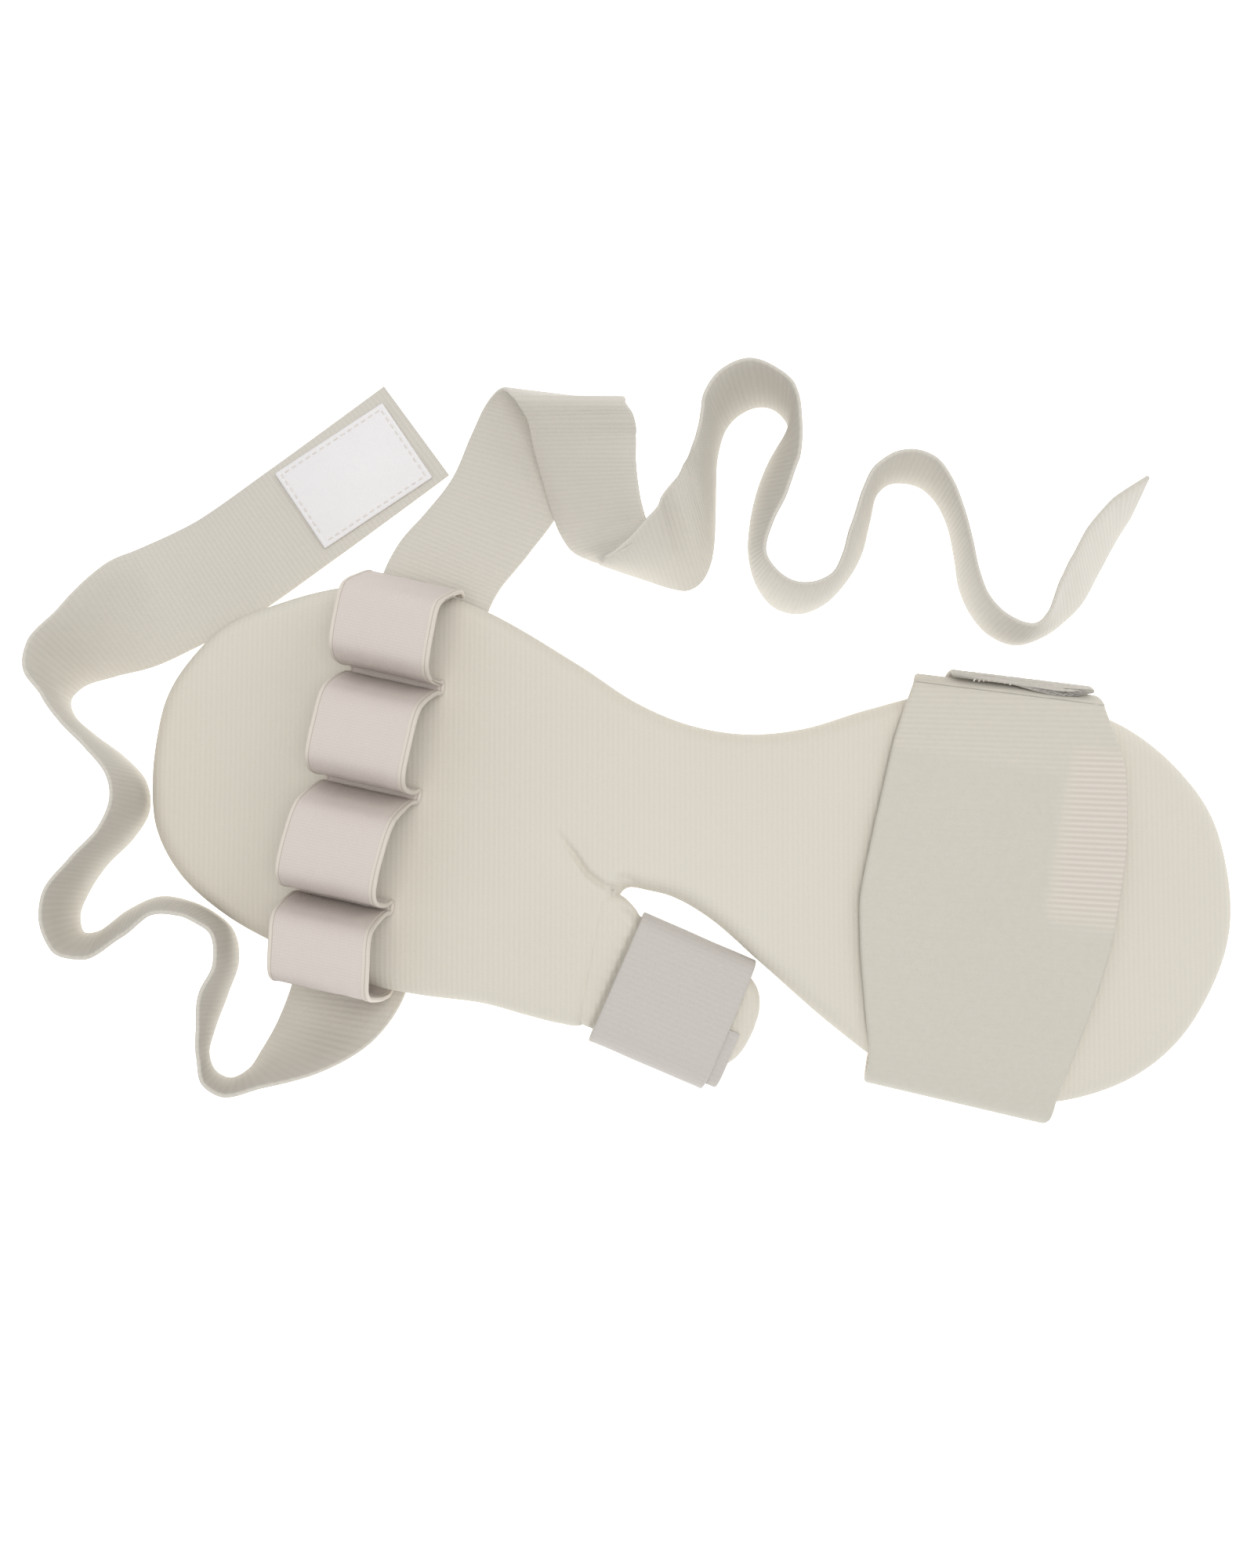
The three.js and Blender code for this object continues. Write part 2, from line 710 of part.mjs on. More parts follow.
function thumbStrap() {
  const half = TAB_WIDTH / 2;
  const inner = THUMB_STRAP_GAP * CLEARANCE + THUMB_STRAP_THICKNESS / 2;
  const layer = THUMB_STRAP_THICKNESS + CLEARANCE;
  const corner = TAB_THICKNESS / 2;
  const section = THUMB_STRAP_TURNS.map(([across, turned, layers, drift]) => {
    const out = corner + inner + layers * layer;
    return {
      n: across * (half - corner) + out * Math.cos(turned * RADIANS),
      z: out * Math.sin(turned * RADIANS),
      s: drift * THUMB_STRAP_DRIFT,
    };
  });
  const fall = (tabMiddle(THUMB_STRAP_WIDTH) - tabMiddle(0)) / THUMB_STRAP_WIDTH;
  const side = tabAlong.clone().setZ(fall).normalize();
  const mid = THUMB_STRAP_WIDTH / 2;
  const points = section.map(({ n, z, s }) => fromTab(mid + s, n, tabMiddle(mid) + s * fall + z));
  const centres = curveThrough(points, false).getPoints(2 * (points.length - 1));
  const widths = centres.map(() => side);
  return solidFromRings(
    ribbonRings(centres, widths, THUMB_STRAP_WIDTH, THUMB_STRAP_THICKNESS, 1),
    false,
  );
}

// Forearm strap: a closed loop of sections, wide on top and drawn in at the board's edges

const forearmUnderside = undersideAt(FOREARM_STRAP_ALONG * BOARD_LENGTH);

const strapMiddle = FOREARM_STRAP_ALONG * BOARD_LENGTH;
const strapFlare = Math.tan(FOREARM_STRAP_FLARE * RADIANS) / (BOARD_WIDTH / 2);

// How far the board reaches under the strap on one side, brought to the strap's middle line
function boardReach(sign) {
  const under = boardOutline.filter(({ x }) => Math.abs(x - strapMiddle) < FOREARM_STRAP_WIDTH / 2);
  return Math.max(...under.map(({ x, y }) => (sign * y) / (1 + strapFlare * (x - strapMiddle))));
}

// The strap's half round bends over the board's edges, from one row of the table to the next
function edgeBend(sign, from, to) {
  const seat = CLEARANCE + FOREARM_STRAP_THICKNESS / 2;
  const middle = forearmUnderside + BOARD_THICKNESS / 2;
  const reach = boardReach(sign) + seat + FOREARM_STRAP_EASE / 2;
  return [-0.72, 0, 0.72].map((turn) => {
    const share = (turn + 1) / 2;
    const drop = (1 - Math.sqrt(1 - turn * turn)) * (BOARD_THICKNESS / 2);
    return {
      y: sign * (reach - drop),
      z: middle + sign * turn * (BOARD_THICKNESS / 2 + seat),
      high: to.high * share + from.high * (1 - share),
      low: to.low * share + from.low * (1 - share),
    };
  });
}

function forearmSections() {
  const seat = CLEARANCE + FOREARM_STRAP_THICKNESS / 2;
  const middle = forearmUnderside + BOARD_THICKNESS / 2;
  const rows = FOREARM_STRAP_ROWS.map(([across, side, ease, high, low]) => ({
    y: across * BOARD_WIDTH,
    z: middle + side * (BOARD_THICKNESS / 2 + seat) + ease * FOREARM_STRAP_EASE,
    high,
    low,
  }));
  const upper = rows.filter(({ z }) => z > middle);
  const under = rows.filter(({ z }) => z < middle);
  const farBend = edgeBend(-1, upper[upper.length - 1], under[0]);
  const nearBend = edgeBend(1, under[under.length - 1], upper[0]);
  return [...upper, ...farBend, ...under, ...nearBend];
}

function forearmStrap() {
  const sections = forearmSections();
  const half = FOREARM_STRAP_THICKNESS / 2;
  const centre = curveThrough(sections.map(({ y, z }) => new THREE.Vector3(0, y, z)), true);
  const edges = curveThrough(sections.map(({ high, low }) => new THREE.Vector3(high, low, 0)), true);
  const steps = 2 * sections.length;
  const rings = [];
  for (let i = 0; i < steps; i += 1) {
    const point = centre.getPoint(i / steps);
    const tangent = centre.getTangent(i / steps);
    const normal = new THREE.Vector3(0, -tangent.z, tangent.y).normalize().multiplyScalar(half);
    const edge = edges.getPoint(i / steps);
    const line = [edge.x, 0, edge.y].map((share) => {
      const x = share * FOREARM_STRAP_WIDTH;
      return new THREE.Vector3(strapMiddle + x, point.y * (1 + strapFlare * x), Math.max(point.z, half));
    });
    const outer = line.map((at) => at.clone().add(normal));
    rings.push(outer.concat(line.reverse().map((at) => at.clone().sub(normal))));
  }
  return solidFromRings(rings, true);
}

function forearmStrapEnd() {
  const seat = FOREARM_STRAP_THICKNESS + STRAP_END_GAP * CLEARANCE + STRAP_END_THICKNESS / 2;
  const reach = boardReach(1) + seat + FOREARM_STRAP_EASE / 2;
  const top = forearmUnderside + BOARD_THICKNESS;
  const points = STRAP_END_ROWS.map(
    ([out, up]) => new THREE.Vector3(strapMiddle, reach + out * STRAP_END_THICKNESS, up * top),
  );
  const centres = curveThrough(points, false).getPoints(2 * (points.length - 1));
  const flared = new THREE.Vector3(1, Math.tan(FOREARM_STRAP_FLARE * RADIANS), 0).normalize();
  const widths = centres.map(() => flared);
  return solidFromRings(ribbonRings(centres, widths, STRAP_END_WIDTH, STRAP_END_THICKNESS, 1), false);
}

// Materials and assembly

function fabric(colour, roughness) {
  return new THREE.MeshStandardMaterial({ color: colour, roughness, metalness: 0 });
}

const group = new THREE.Group();

function addPiece(name, geometry, material) {
  const mesh = new THREE.Mesh(geometry, material);
  mesh.name = name;
  group.add(mesh);
}

addPiece('padded_board', paddedBoard(), fabric(0xd9d4c6, 0.92));
addPiece('finger_loop_band', fingerLoops(), fabric(0xd6ccc5, 0.8));
addPiece('finger_strap_hook_end', solidFromRings(hookEnd.rings, false), fabric(0xd0cbc1, 0.85));
addPiece('finger_strap_long_end', solidFromRings(longEnd.rings, false), fabric(0xd0cbc1, 0.85));
addPiece('hook_patch', hookPatch(), fabric(0xececec, 0.75));
addPiece('thumb_strap', thumbStrap(), fabric(0xcfcac1, 0.95));
addPiece('forearm_strap', forearmStrap(), fabric(0xd2cdc3, 0.92));
addPiece('forearm_strap_end', forearmStrapEnd(), fabric(0xcfcac0, 0.9));

// Zero of the finished part: the middle of its footprint, on the table
const extent = new THREE.Box3().setFromObject(group);
const zero = extent.getCenter(new THREE.Vector3()).setZ(extent.min.z);
for (const mesh of group.children) {
  mesh.position.sub(zero);
}

export default group;
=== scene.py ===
"""Looks of a resting hand splint that lies palm up on a table, with its straps laid out as they fell.

Shapes are worked out in millimetres on the board's own drawing: x along the board from the fingertips
to the forearm, y towards the little finger's side, z up from the table.
"""

import math

import bpy
import numpy as np
from mathutils import Matrix, Vector


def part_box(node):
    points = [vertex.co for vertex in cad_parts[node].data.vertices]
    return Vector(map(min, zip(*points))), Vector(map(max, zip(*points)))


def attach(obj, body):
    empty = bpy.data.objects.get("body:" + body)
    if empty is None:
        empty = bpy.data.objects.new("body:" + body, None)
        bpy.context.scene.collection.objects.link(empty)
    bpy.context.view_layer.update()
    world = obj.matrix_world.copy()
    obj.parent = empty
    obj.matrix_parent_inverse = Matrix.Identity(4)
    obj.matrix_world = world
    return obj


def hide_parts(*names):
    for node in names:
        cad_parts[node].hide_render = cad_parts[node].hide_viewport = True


# Padded board and its thumb tab
BOARD_LENGTH = 358.0
BOARD_WIDTH = 137.0
BOARD_THICKNESS = 12.0
BOARD_RISE = 7.0
TAB_LENGTH = 49.0
TAB_WIDTH = 39.4
TAB_THICKNESS = 10.0
TAB_ROOT = 28.0
TAB_HEADING = -13.6
TAB_TIP_ROUND = 15.0
TAB_BEND = 5.0
TAB_START = (-0.0455 * BOARD_LENGTH, -0.3565 * BOARD_WIDTH)
CLEARANCE = 0.3

# Straps
LOOP_WIDTH = 32.0
LOOP_THICKNESS = 1.3
LOOP_HEIGHT = 26.0
LOOP_SKEW = 3.2
LOOP_HEADING = -2.5
LOOP_TUCK = 14.0
LOOP_OVERHANG = 3.0
STRAP_WIDTH = 38.0
STRAP_THICKNESS = 1.3
SQUARENESS = 0.2
PATCH_LENGTH = 43.5
PATCH_WIDTH = 30.8
PATCH_THICKNESS = 1.2
PATCH_END_MARGIN = 4.5
PATCH_TURN = -3.0
THUMB_STRAP_WIDTH = 40.5
THUMB_STRAP_THICKNESS = 1.5
THUMB_STRAP_DRIFT = 4.0
FOREARM_STRAP_WIDTH = 83.0
FOREARM_STRAP_THICKNESS = 2.2
FOREARM_STRAP_EASE = 1.4
FOREARM_STRAP_FLARE = 3.0
FOREARM_STRAP_ALONG = 0.2745
STRAP_END_WIDTH = 47.0
STRAP_END_THICKNESS = 1.6

# Gaps under the bands, in clearances
LOOP_GAP = 1.7
THUMB_STRAP_GAP = 1.6
STRAP_END_GAP = 2.4
TAB_TIP_GAP = 3.5

# Knit, webbing and elastic: pitches, depths and widths in mm, and the knit's skew in degrees
BOARD_RIB_PITCH = 1.7
BOARD_RIB_DEPTH = 0.042
BOARD_COURSE_PITCH = 1.1
WEBBING_RIB_PITCH = 1.65
WEBBING_RIB_DEPTH = 0.08
WEBBING_RIB_LAID = 0.03
WEBBING_WARP_PITCH = 0.8
WEBBING_SELVEDGE = 1.2
BAND_RIB_PITCH = 1.78
BAND_RIB_DEPTH = 0.12
BAND_RIB_SLANT = 0.11
THUMB_RIB_DEPTH = 0.03
RIB_SINK = 0.6
RIB_FADE = 1.5
KNIT_SKEW = 10.0
KNIT_SHEAR = math.tan(math.radians(KNIT_SKEW))
LOOP_EDGE_WIDTH = 1.15
LOOP_LINE_PITCH = 1.25
LOOP_LINE_DEPTH = 0.035
LOOP_CROSS_PITCH = 0.9
LOOP_SINK = 0.1

# Rolled edges of the loops: height in mm, then place and reach in edge widths
LOOP_BEAD = (0.28, 0.55, 0.42)
LOOP_SECOND_BEAD = (0.20, 1.62, 0.34)

# Overlocked edges: height and pitch of their waves, and how far in they reach
THUMB_EDGE_WAVE = (0.10, 1.5)
FOREARM_EDGE_WAVE = (0.05, 1.6)
EDGE_WAVE_REACH = 1.2

# Unevenness of each cloth: its height, the size of its swells, and where they start
BOARD_WAVES = (0.22, 17, 1.0)
LOOP_WAVES = (0.05, 1.9, 4.0)
THUMB_WAVES = (0.06, 3.1, 3.0)
FOREARM_WAVES = (0.35, 15, 2.0)
STRAP_END_WAVES = (0.05, 1.6, 5.0)
WAVES_FADE = 8
FOREARM_WAVES_FADE = 10

# The thumb's crotch, where the board and its tab meet, is calm: its middle, flattening, radius and fade
CROTCH = (-22, -45)
CROTCH_FLATTENING = 0.7
CROTCH_RADIUS = 15
CROTCH_FADE = 12

# The tab's root: how deep it sinks under the board's cover, where and over what run, its gathers'
# height and pitch with their place and reach, and how the strap draws the cover in
TAB_ROOT_SINK = 0.03
TAB_SINK = (1.2, -24.5, 3)
TAB_GATHERS = (0.22, 3.7)
TAB_GATHERS_AT = (-1.5, 2.4)
TAB_DRAWN_IN = 1.0
TAB_DRAWN_IN_AT = (-0.1, 1.1)

# Hook patch: groove of its stitches, its hooks, and the closing of its two ends
PATCH_STITCH_INSET = 1.7
PATCH_GROOVE = 0.22
PATCH_SOFTNESS = 0.6
PATCH_PINCH = 0.35
HOOK_PITCH = 1.1
HOOK_HEIGHT = 0.07
HOOK_BORDER = 2.6

# Stitches: length, gap and radius of the patch's, and how deep they lie
PATCH_STITCH = (2.1, 0.7, 0.22)
PATCH_STITCH_SINK = 0.2

# Lip of the forearm strap's closed end: how far in it is drawn and from which share of its height,
# how much it rises, and where its stitches run along the strap
LIP_REACH = 2.6
LIP_FOOT = 0.6
LIP_FOOT_RUN = 0.3
LIP_RISE = 0.95
LIP_STITCH_START = -17.0
LIP_STITCH_END = -2.5
LIP_STITCH_STEP = 0.85
LIP_STITCH_OUT = 0.1
LIP_STITCH_RADIUS = 0.24

# Where the forearm strap's ribs show: from a place along the board, between two across it and faintly
# beyond a third, each with the run over which they come
RIBS_FROM = (113, 8)
RIBS_LOW = (-14, 14)
RIBS_HIGH = (54, 8)
RIBS_FAR = (36, 5)
RIBS_FAR_SHARE = 0.35
RIBS_LEAST = 0.05

# Fineness of the meshes
OUTLINE_STEP = 1.2
TAB_OUTLINE_STEP = 0.8
STATIONS_PER_RIB = 4
END_STATION = 0.04
RIM_POINTS = 9
CROWDED_ROWS = (-17, 11)
RINGS_PER_RIB = 5
LOOP_STEP = 0.55
THUMB_STRAP_STEP = 0.5
STRAP_END_STEP = 0.25
FOREARM_STRAP_RIM = (0.0, 0.003, 0.008, 0.016, 0.03)
STITCH_SIDES = 6
POINTS_AT_ONCE = 4000

# Square of the share of its thickness that a rounded edge keeps
EDGE_LEAST = 0.02
FOREARM_EDGE_LEAST = 0.03

# Camera: height over the table, the point under it in the drawing, its turn and its tilt
CAMERA_HEIGHT = 560.0
CAMERA_FOOT = (-18.0, -20.5)
CAMERA_TURN = 10.0
CAMERA_TILT = 3.478
CAMERA_LENS = 38.43
SENSOR = 36.0

# Area lights that look at the middle: place and size in metres, watts and colour
LIGHTS = {
    "overhead": ((0.02, -0.05, 1.5), 0.9, 9.5, (1.0, 0.99, 0.98)),
    "side": ((0.7, 0.8, 1.1), 0.8, 2.2, (1.0, 0.99, 0.97)),
}

# The surroundings' strength, and the ground with its own faint glow, in metres
WORLD_LIGHT = 0.62
GROUND_GLOW = 0.9
GROUND_WHITE = 0.93
GROUND_SIZE = 6.0
GROUND_DROP = 0.0004

# Colours as they are seen, from 0 to 255
BOARD_LIGHT = (219, 214, 203)
BOARD_DARK = (205, 200, 188)
WEBBING_LIGHT = (214, 210, 201)
WEBBING_DARK = (196, 191, 182)
LOOP_LIGHT = (216, 207, 201)
LOOP_DARK = (199, 190, 184)
LOOP_EDGE = (214, 206, 196)
# Painted shade: a thin dark line in the dip just inside each loop's rolled edge
LOOP_GROOVE_SHADE = (168, 158, 148)
BAND_LIGHT = (210, 206, 196)
BAND_DARK = (191, 188, 176)
BAND_RIB_TINT = (222, 213, 204)
# Painted shade: the darker valleys between the forearm strap's ribs
BAND_RIB_VALLEY_SHADE = (176, 167, 156)
THUMB_LIGHT = (204, 199, 194)
THUMB_DARK = (186, 181, 175)
HOOK_LIGHT = (238, 236, 237)
HOOK_DARK = (220, 218, 219)
THREAD_LIGHT = (232, 228, 221)
THREAD_DARK = (216, 210, 202)

MILLIMETRE = 0.001
UP = np.array([0.0, 0.0, 1.0])

# One stitch: shares of its length, then its height and size in radii
STITCH_SHAPE = [
    # along, height, size
    [0.00, -1.2, 0.45],
    [0.12, 0.0, 0.90],
    [0.35, 0.8, 1.00],
    [0.65, 0.8, 1.00],
    [0.88, 0.0, 0.90],
    [1.00, -1.2, 0.45],
]

# Outline of the board in plan: shares of its length and of its width, clockwise from the fingertips
BOARD_OUTLINE = [
    # along, across
    [-0.503, 0.000],
    [-0.501, 0.105],
    [-0.489, 0.192],
    [-0.462, 0.296],
    [-0.419, 0.371],
    [-0.352, 0.445],
    [-0.285, 0.467],
    [-0.221, 0.440],
    [-0.128, 0.350],
    [-0.070, 0.285],
    [-0.018, 0.255],
    [0.034, 0.258],
    [0.084, 0.295],
    [0.140, 0.369],
    [0.198, 0.435],
    [0.250, 0.461],
    [0.300, 0.467],
    [0.345, 0.456],
    [0.382, 0.430],
    [0.424, 0.370],
    [0.465, 0.270],
    [0.488, 0.150],
    [0.500, 0.015],
    [0.496, -0.110],
    [0.472, -0.275],
    [0.436, -0.385],
    [0.382, -0.466],
    [0.328, -0.499],
    [0.270, -0.497],
    [0.218, -0.470],
    [0.156, -0.392],
    [0.084, -0.278],
    [0.030, -0.193],
    [-0.006, -0.158],
    [-0.030, -0.152],
    [-0.050, -0.155],
    [-0.057, -0.190],
    [-0.059, -0.280],
    [-0.061, -0.370],
    [-0.062, -0.455],
    [-0.069, -0.493],
    [-0.090, -0.498],
    [-0.122, -0.492],
    [-0.160, -0.483],
    [-0.222, -0.490],
    [-0.275, -0.484],
    [-0.330, -0.450],
    [-0.406, -0.389],
    [-0.457, -0.311],
    [-0.487, -0.213],
    [-0.499, -0.105],
]

# Height of the board's underside: shares of the length and of the rise at the knuckles
BOARD_HEIGHTS = [
    # along, height
    [-0.50, 0.00],
    [-0.45, 0.00],
    [-0.38, 0.34],
    [-0.30, 0.76],
    [-0.20, 0.98],
    [-0.08, 1.00],
    [0.03, 0.78],
    [0.10, 0.48],
    [0.15, 0.345],
    [0.20, 0.34],
    [0.50, 0.34],
]

# One finger loop seen along the board: shares of its pitch, of its height and of its skew
LOOP_PROFILE = [
    # across, height, skew
    [0.045, 0.00, 0.05],
    [0.070, 0.14, 0.35],
    [0.130, 0.40, 0.62],
    [0.210, 0.68, 0.84],
    [0.290, 0.87, 0.96],
    [0.400, 0.96, 1.00],
    [0.560, 0.99, 1.00],
    [0.720, 1.00, 1.00],
    [0.870, 0.93, 1.00],
    [0.955, 0.72, 0.95],
    [0.985, 0.40, 0.75],
    [0.978, 0.14, 0.40],
    [0.955, 0.00, 0.10],
]

# The finger strip's last end, round under the board's edge: shares of its tuck, of the height
# from the under side to the board's middle, and of the skew
LOOP_TUCK_ROWS = [
    # across, height, skew
    [0.000, 1.00, 0.5],
    [0.085, 0.19, 0.3],
    [0.360, 0.00, 0.1],
    [1.000, 0.00, 0.0],
]

# Thumb strap: shares of the tab's flat, degrees turned round its edges, layers out, drift along the tab
THUMB_STRAP_TURNS = [
    # across, turned, layers, drift
    [-0.15, 90, 0, 1],
    [-0.60, 90, 0, 1],
    [-1.00, 90, 0, 1],
    [-1.00, 120, 0, 1],
    [-1.00, 150, 0, 1],
    [-1.00, 180, 0, 1],
    [-1.00, 210, 0, 1],
    [-1.00, 240, 0, 1],
    [-1.00, 270, 0, 0.9],
    [0.00, 270, 0, 0.6],
    [1.00, 270, 0, 0.1],
    [1.00, 300, 0, 0],
    [1.00, 330, 0, 0],
    [1.00, 360, 0, 0],
    [1.00, 390, 0, 0],
    [1.00, 420, 0.1, 0],
    [1.00, 450, 0.3, 0],
    [0.40, 450, 0.9, 0],
    [-0.40, 450, 1.1, 0],
    [-1.00, 450, 1.1, 0],
    [-1.00, 480, 1.1, 0],
    [-1.00, 510, 1.1, 0],
    [-1.00, 540, 1.1, 0],
    [-1.00, 570, 1.1, 0],
    [-1.00, 600, 1.1, 0],
    [-1.00, 630, 1.1, 0],
    [-0.30, 630, 1.1, 0],
]

# Tacks of the loops, from the index finger's edge to the little finger's: shares of the board
LOOP_TACKS = [
    # across, along
    [-0.500, -0.2880],
    [-0.292, -0.2975],
    [-0.022, -0.2915],
    [0.241, -0.2885],
    [0.470, -0.2890],
]

# Route of the finger strap's hook end. Its near edge stands on the table: shares of the board's
# length and width, the lift in strap widths, and the heading and lean of the webbing's width
HOOK_END_ROUTE = [
    # along, across, lift, heading, lean
    [-0.335, 0.000, 0, -3, 0],
    [-0.338, -0.270, 0, -1, 0],
    [-0.340, -0.500, 0, 6, 0],
    [-0.347, -0.615, 0, 5, 24],
    [-0.357, -0.695, 0, 3, 52],
    [-0.366, -0.748, 0, 10, 70],
    [-0.381, -0.776, 0, 4, 79],
    [-0.397, -0.764, 0, 10, 81],
    [-0.406, -0.724, 0, 30, 80],
    [-0.405, -0.665, 0, 52, 81],
    [-0.399, -0.575, 0, 85, 86],
    [-0.395, -0.490, 0, 0, 88],
    [-0.405, -0.424, 0, 0, 86],
    [-0.426, -0.390, 0, -18, 83],
    [-0.450, -0.374, 0, -18, 78],
    [-0.477, -0.376, 0, -22, 76],
    [-0.503, -0.420, 0, -31, 73],
    [-0.527, -0.484, 0, -30, 74],
    [-0.541, -0.492, 0, -46, 81],
    [-0.548, -0.450, 0, -80, 87],
    [-0.544, -0.392, 0, 135, 87],
    [-0.532, -0.318, 0, 90, 88],
    [-0.513, -0.245, 0, 104, 88],
    [-0.503, -0.172, 0, 144, 87],
    [-0.511, -0.106, 0, 180, 88],
    [-0.534, -0.058, 0, 150, 88],
    [-0.567, -0.015, 0, 50, 87],
    [-0.589, 0.022, 0, 64, 84],
    [-0.595, 0.060, 0, 116, 80],
    [-0.585, 0.100, 0, 129, 71],
    [-0.558, 0.137, 0, 130, 59],
    [-0.524, 0.176, 0, 128, 34],
    [-0.491, 0.235, 0, 132, 8],
    [-0.436, 0.352, 0, 134, 0],
    [-0.378, 0.507, 0, 136, 0],
    [-0.327, 0.648, 0, 136, 0],
    [-0.283, 0.771, 0, 136, 0],
]

# Route of the finger strap's long end: rises from the board, folds back over itself, then waves
LONG_END_ROUTE = [
    # along, across, lift, heading, lean
    [-0.335, 0.000, 0, -3, 0],
    [-0.332, 0.250, 0, -5, 0],
    [-0.329, 0.482, 0, -9, 0],
    [-0.318, 0.584, 0, -10, 0],
    [-0.298, 0.672, 0.01, -6, 0],
    [-0.279, 0.766, 0.05, -4, 0],
    [-0.268, 0.869, 0.14, -2, 0],
    [-0.257, 0.942, 0.30, 0, 0],
    [-0.243, 0.968, 0.52, 2, 0],
    [-0.229, 0.940, 0.70, -2, 15],
    [-0.214, 0.903, 0.60, 3, 22],
    [-0.208, 0.868, 0.45, 5, 26],
    [-0.202, 0.832, 0.32, 2, 29],
    [-0.193, 0.784, 0.20, 2, 33],
    [-0.182, 0.727, 0.11, 4, 37],
    [-0.170, 0.674, 0.04, 5, 39],
    [-0.155, 0.635, 0.01, 5, 48],
    [-0.140, 0.623, 0, -5, 65],
    [-0.125, 0.618, 0, -63, 82],
    [-0.102, 0.608, 0, -168, 83],
    [-0.080, 0.598, 0, 148, 73],
    [-0.057, 0.588, 0, 132, 57],
    [-0.042, 0.590, 0, 123, 45],
    [-0.030, 0.620, 0, 114, 35],
    [-0.025, 0.682, 0, 116, 39],
    [-0.029, 0.778, 0, 123, 57],
    [-0.034, 0.861, 0, 130, 69],
    [-0.037, 0.927, 0, 139, 75],
    [-0.034, 1.000, 0, 172, 77],
    [-0.024, 1.044, 0, 167, 76],
    [-0.006, 1.075, 0, 158, 77],
    [0.011, 1.073, 0, 152, 81],
    [0.026, 1.036, 0, 129, 84],
    [0.019, 0.982, 0, -24, 83],
    [0.013, 0.938, 0, -43, 75],
    [0.007, 0.858, 0, -44, 74],
    [0.006, 0.777, 0, -53, 77],
    [0.010, 0.701, 0, -60, 81],
    [0.023, 0.630, 0, -11, 87],
    [0.042, 0.588, 0, 63, 86],
    [0.065, 0.584, 0, 103, 85],
    [0.085, 0.615, 0, 120, 85],
    [0.101, 0.673, 0, 165, 82],
    [0.112, 0.748, 0, 171, 78],
    [0.115, 0.836, 0, 176, 79],
    [0.117, 0.905, 0, 186, 82],
    [0.126, 0.937, 0, 175, 85],
    [0.140, 0.949, 0, 165, 86],
    [0.158, 0.945, 0, 180, 87],
    [0.175, 0.916, 0, 215, 86],
    [0.190, 0.861, 0, 220, 85],
    [0.201, 0.788, 0, 216, 86],
    [0.211, 0.710, 0, 192, 87],
    [0.226, 0.652, 0, 188, 86],
    [0.245, 0.613, 0, 180, 86],
    [0.270, 0.600, 0, 177, 85],
    [0.296, 0.635, 0, 178, 77],
    [0.314, 0.685, 0, 162, 70],
    [0.325, 0.728, 0, 156, 67],
    [0.336, 0.810, 0, 160, 67],
    [0.347, 0.894, 0, 160, 71],
    [0.357, 0.958, 0, 140, 79],
]

# Forearm strap, once round the board, with its edges as shares of its width
FOREARM_STRAP_ROWS = [
    # across, side of the board, ease, forearm edge, wrist edge
    [0.455, 1, 0.2, 0.33, -0.43],
    [0.310, 1, 0.7, 0.45, -0.47],
    [0.110, 1, 1.0, 0.50, -0.49],
    [-0.060, 1, 1.0, 0.50, -0.50],
    [-0.190, 1, 0.9, 0.475, -0.47],
    [-0.340, 1, 0.6, 0.425, -0.41],
    [-0.455, 1, 0.2, 0.385, -0.36],
    [-0.460, -1, 0.0, 0.360, -0.34],
    [-0.410, -1, 0.0, 0.350, -0.34],
    [0.000, -1, 0.0, 0.330, -0.36],
    [0.410, -1, 0.0, 0.300, -0.39],
    [0.460, -1, 0.0, 0.300, -0.40],
]

# Closed end of the forearm strap: out from its seat in its own thicknesses, and up to the board's top
STRAP_END_ROWS = [
    # out, up
    [-0.62, 0.08],
    [0.12, 0.26],
    [0.38, 0.56],
    [0.30, 0.75],
    [-0.25, 0.92],
    [-1.15, 1.05],
]

# Edge of that closed end over the strap: places from one side to the other, and mm pulled inward
STRAP_END_LIP = [
    # place, inward
    [-1.00, -0.7],
    [-0.78, -0.9],
    [-0.36, -1.4],
    [0.00, 0.1],
    [0.28, 1.2],
    [0.48, 1.5],
    [0.77, 0.7],
    [1.00, -0.8],
]

# Creases at the thumb's crotch: points in plan, width and depth in mm
CROTCH_CREASES = [
    ([(-43, -8), (-37, -13), (-31.4, -18.8), (-26, -21.5), (-20.5, -23)], 0.9, 1.7),
    ([(-46, -8), (-37, -16), (-28, -22)], 5.0, 0.6),
    ([(-22, -17.6), (-18.5, -17.9), (-15, -18.9)], 0.8, 0.7),
    ([(-20, -27), (-16, -28), (-11, -31)], 1.1, 1.0),
]


# Curves through tables


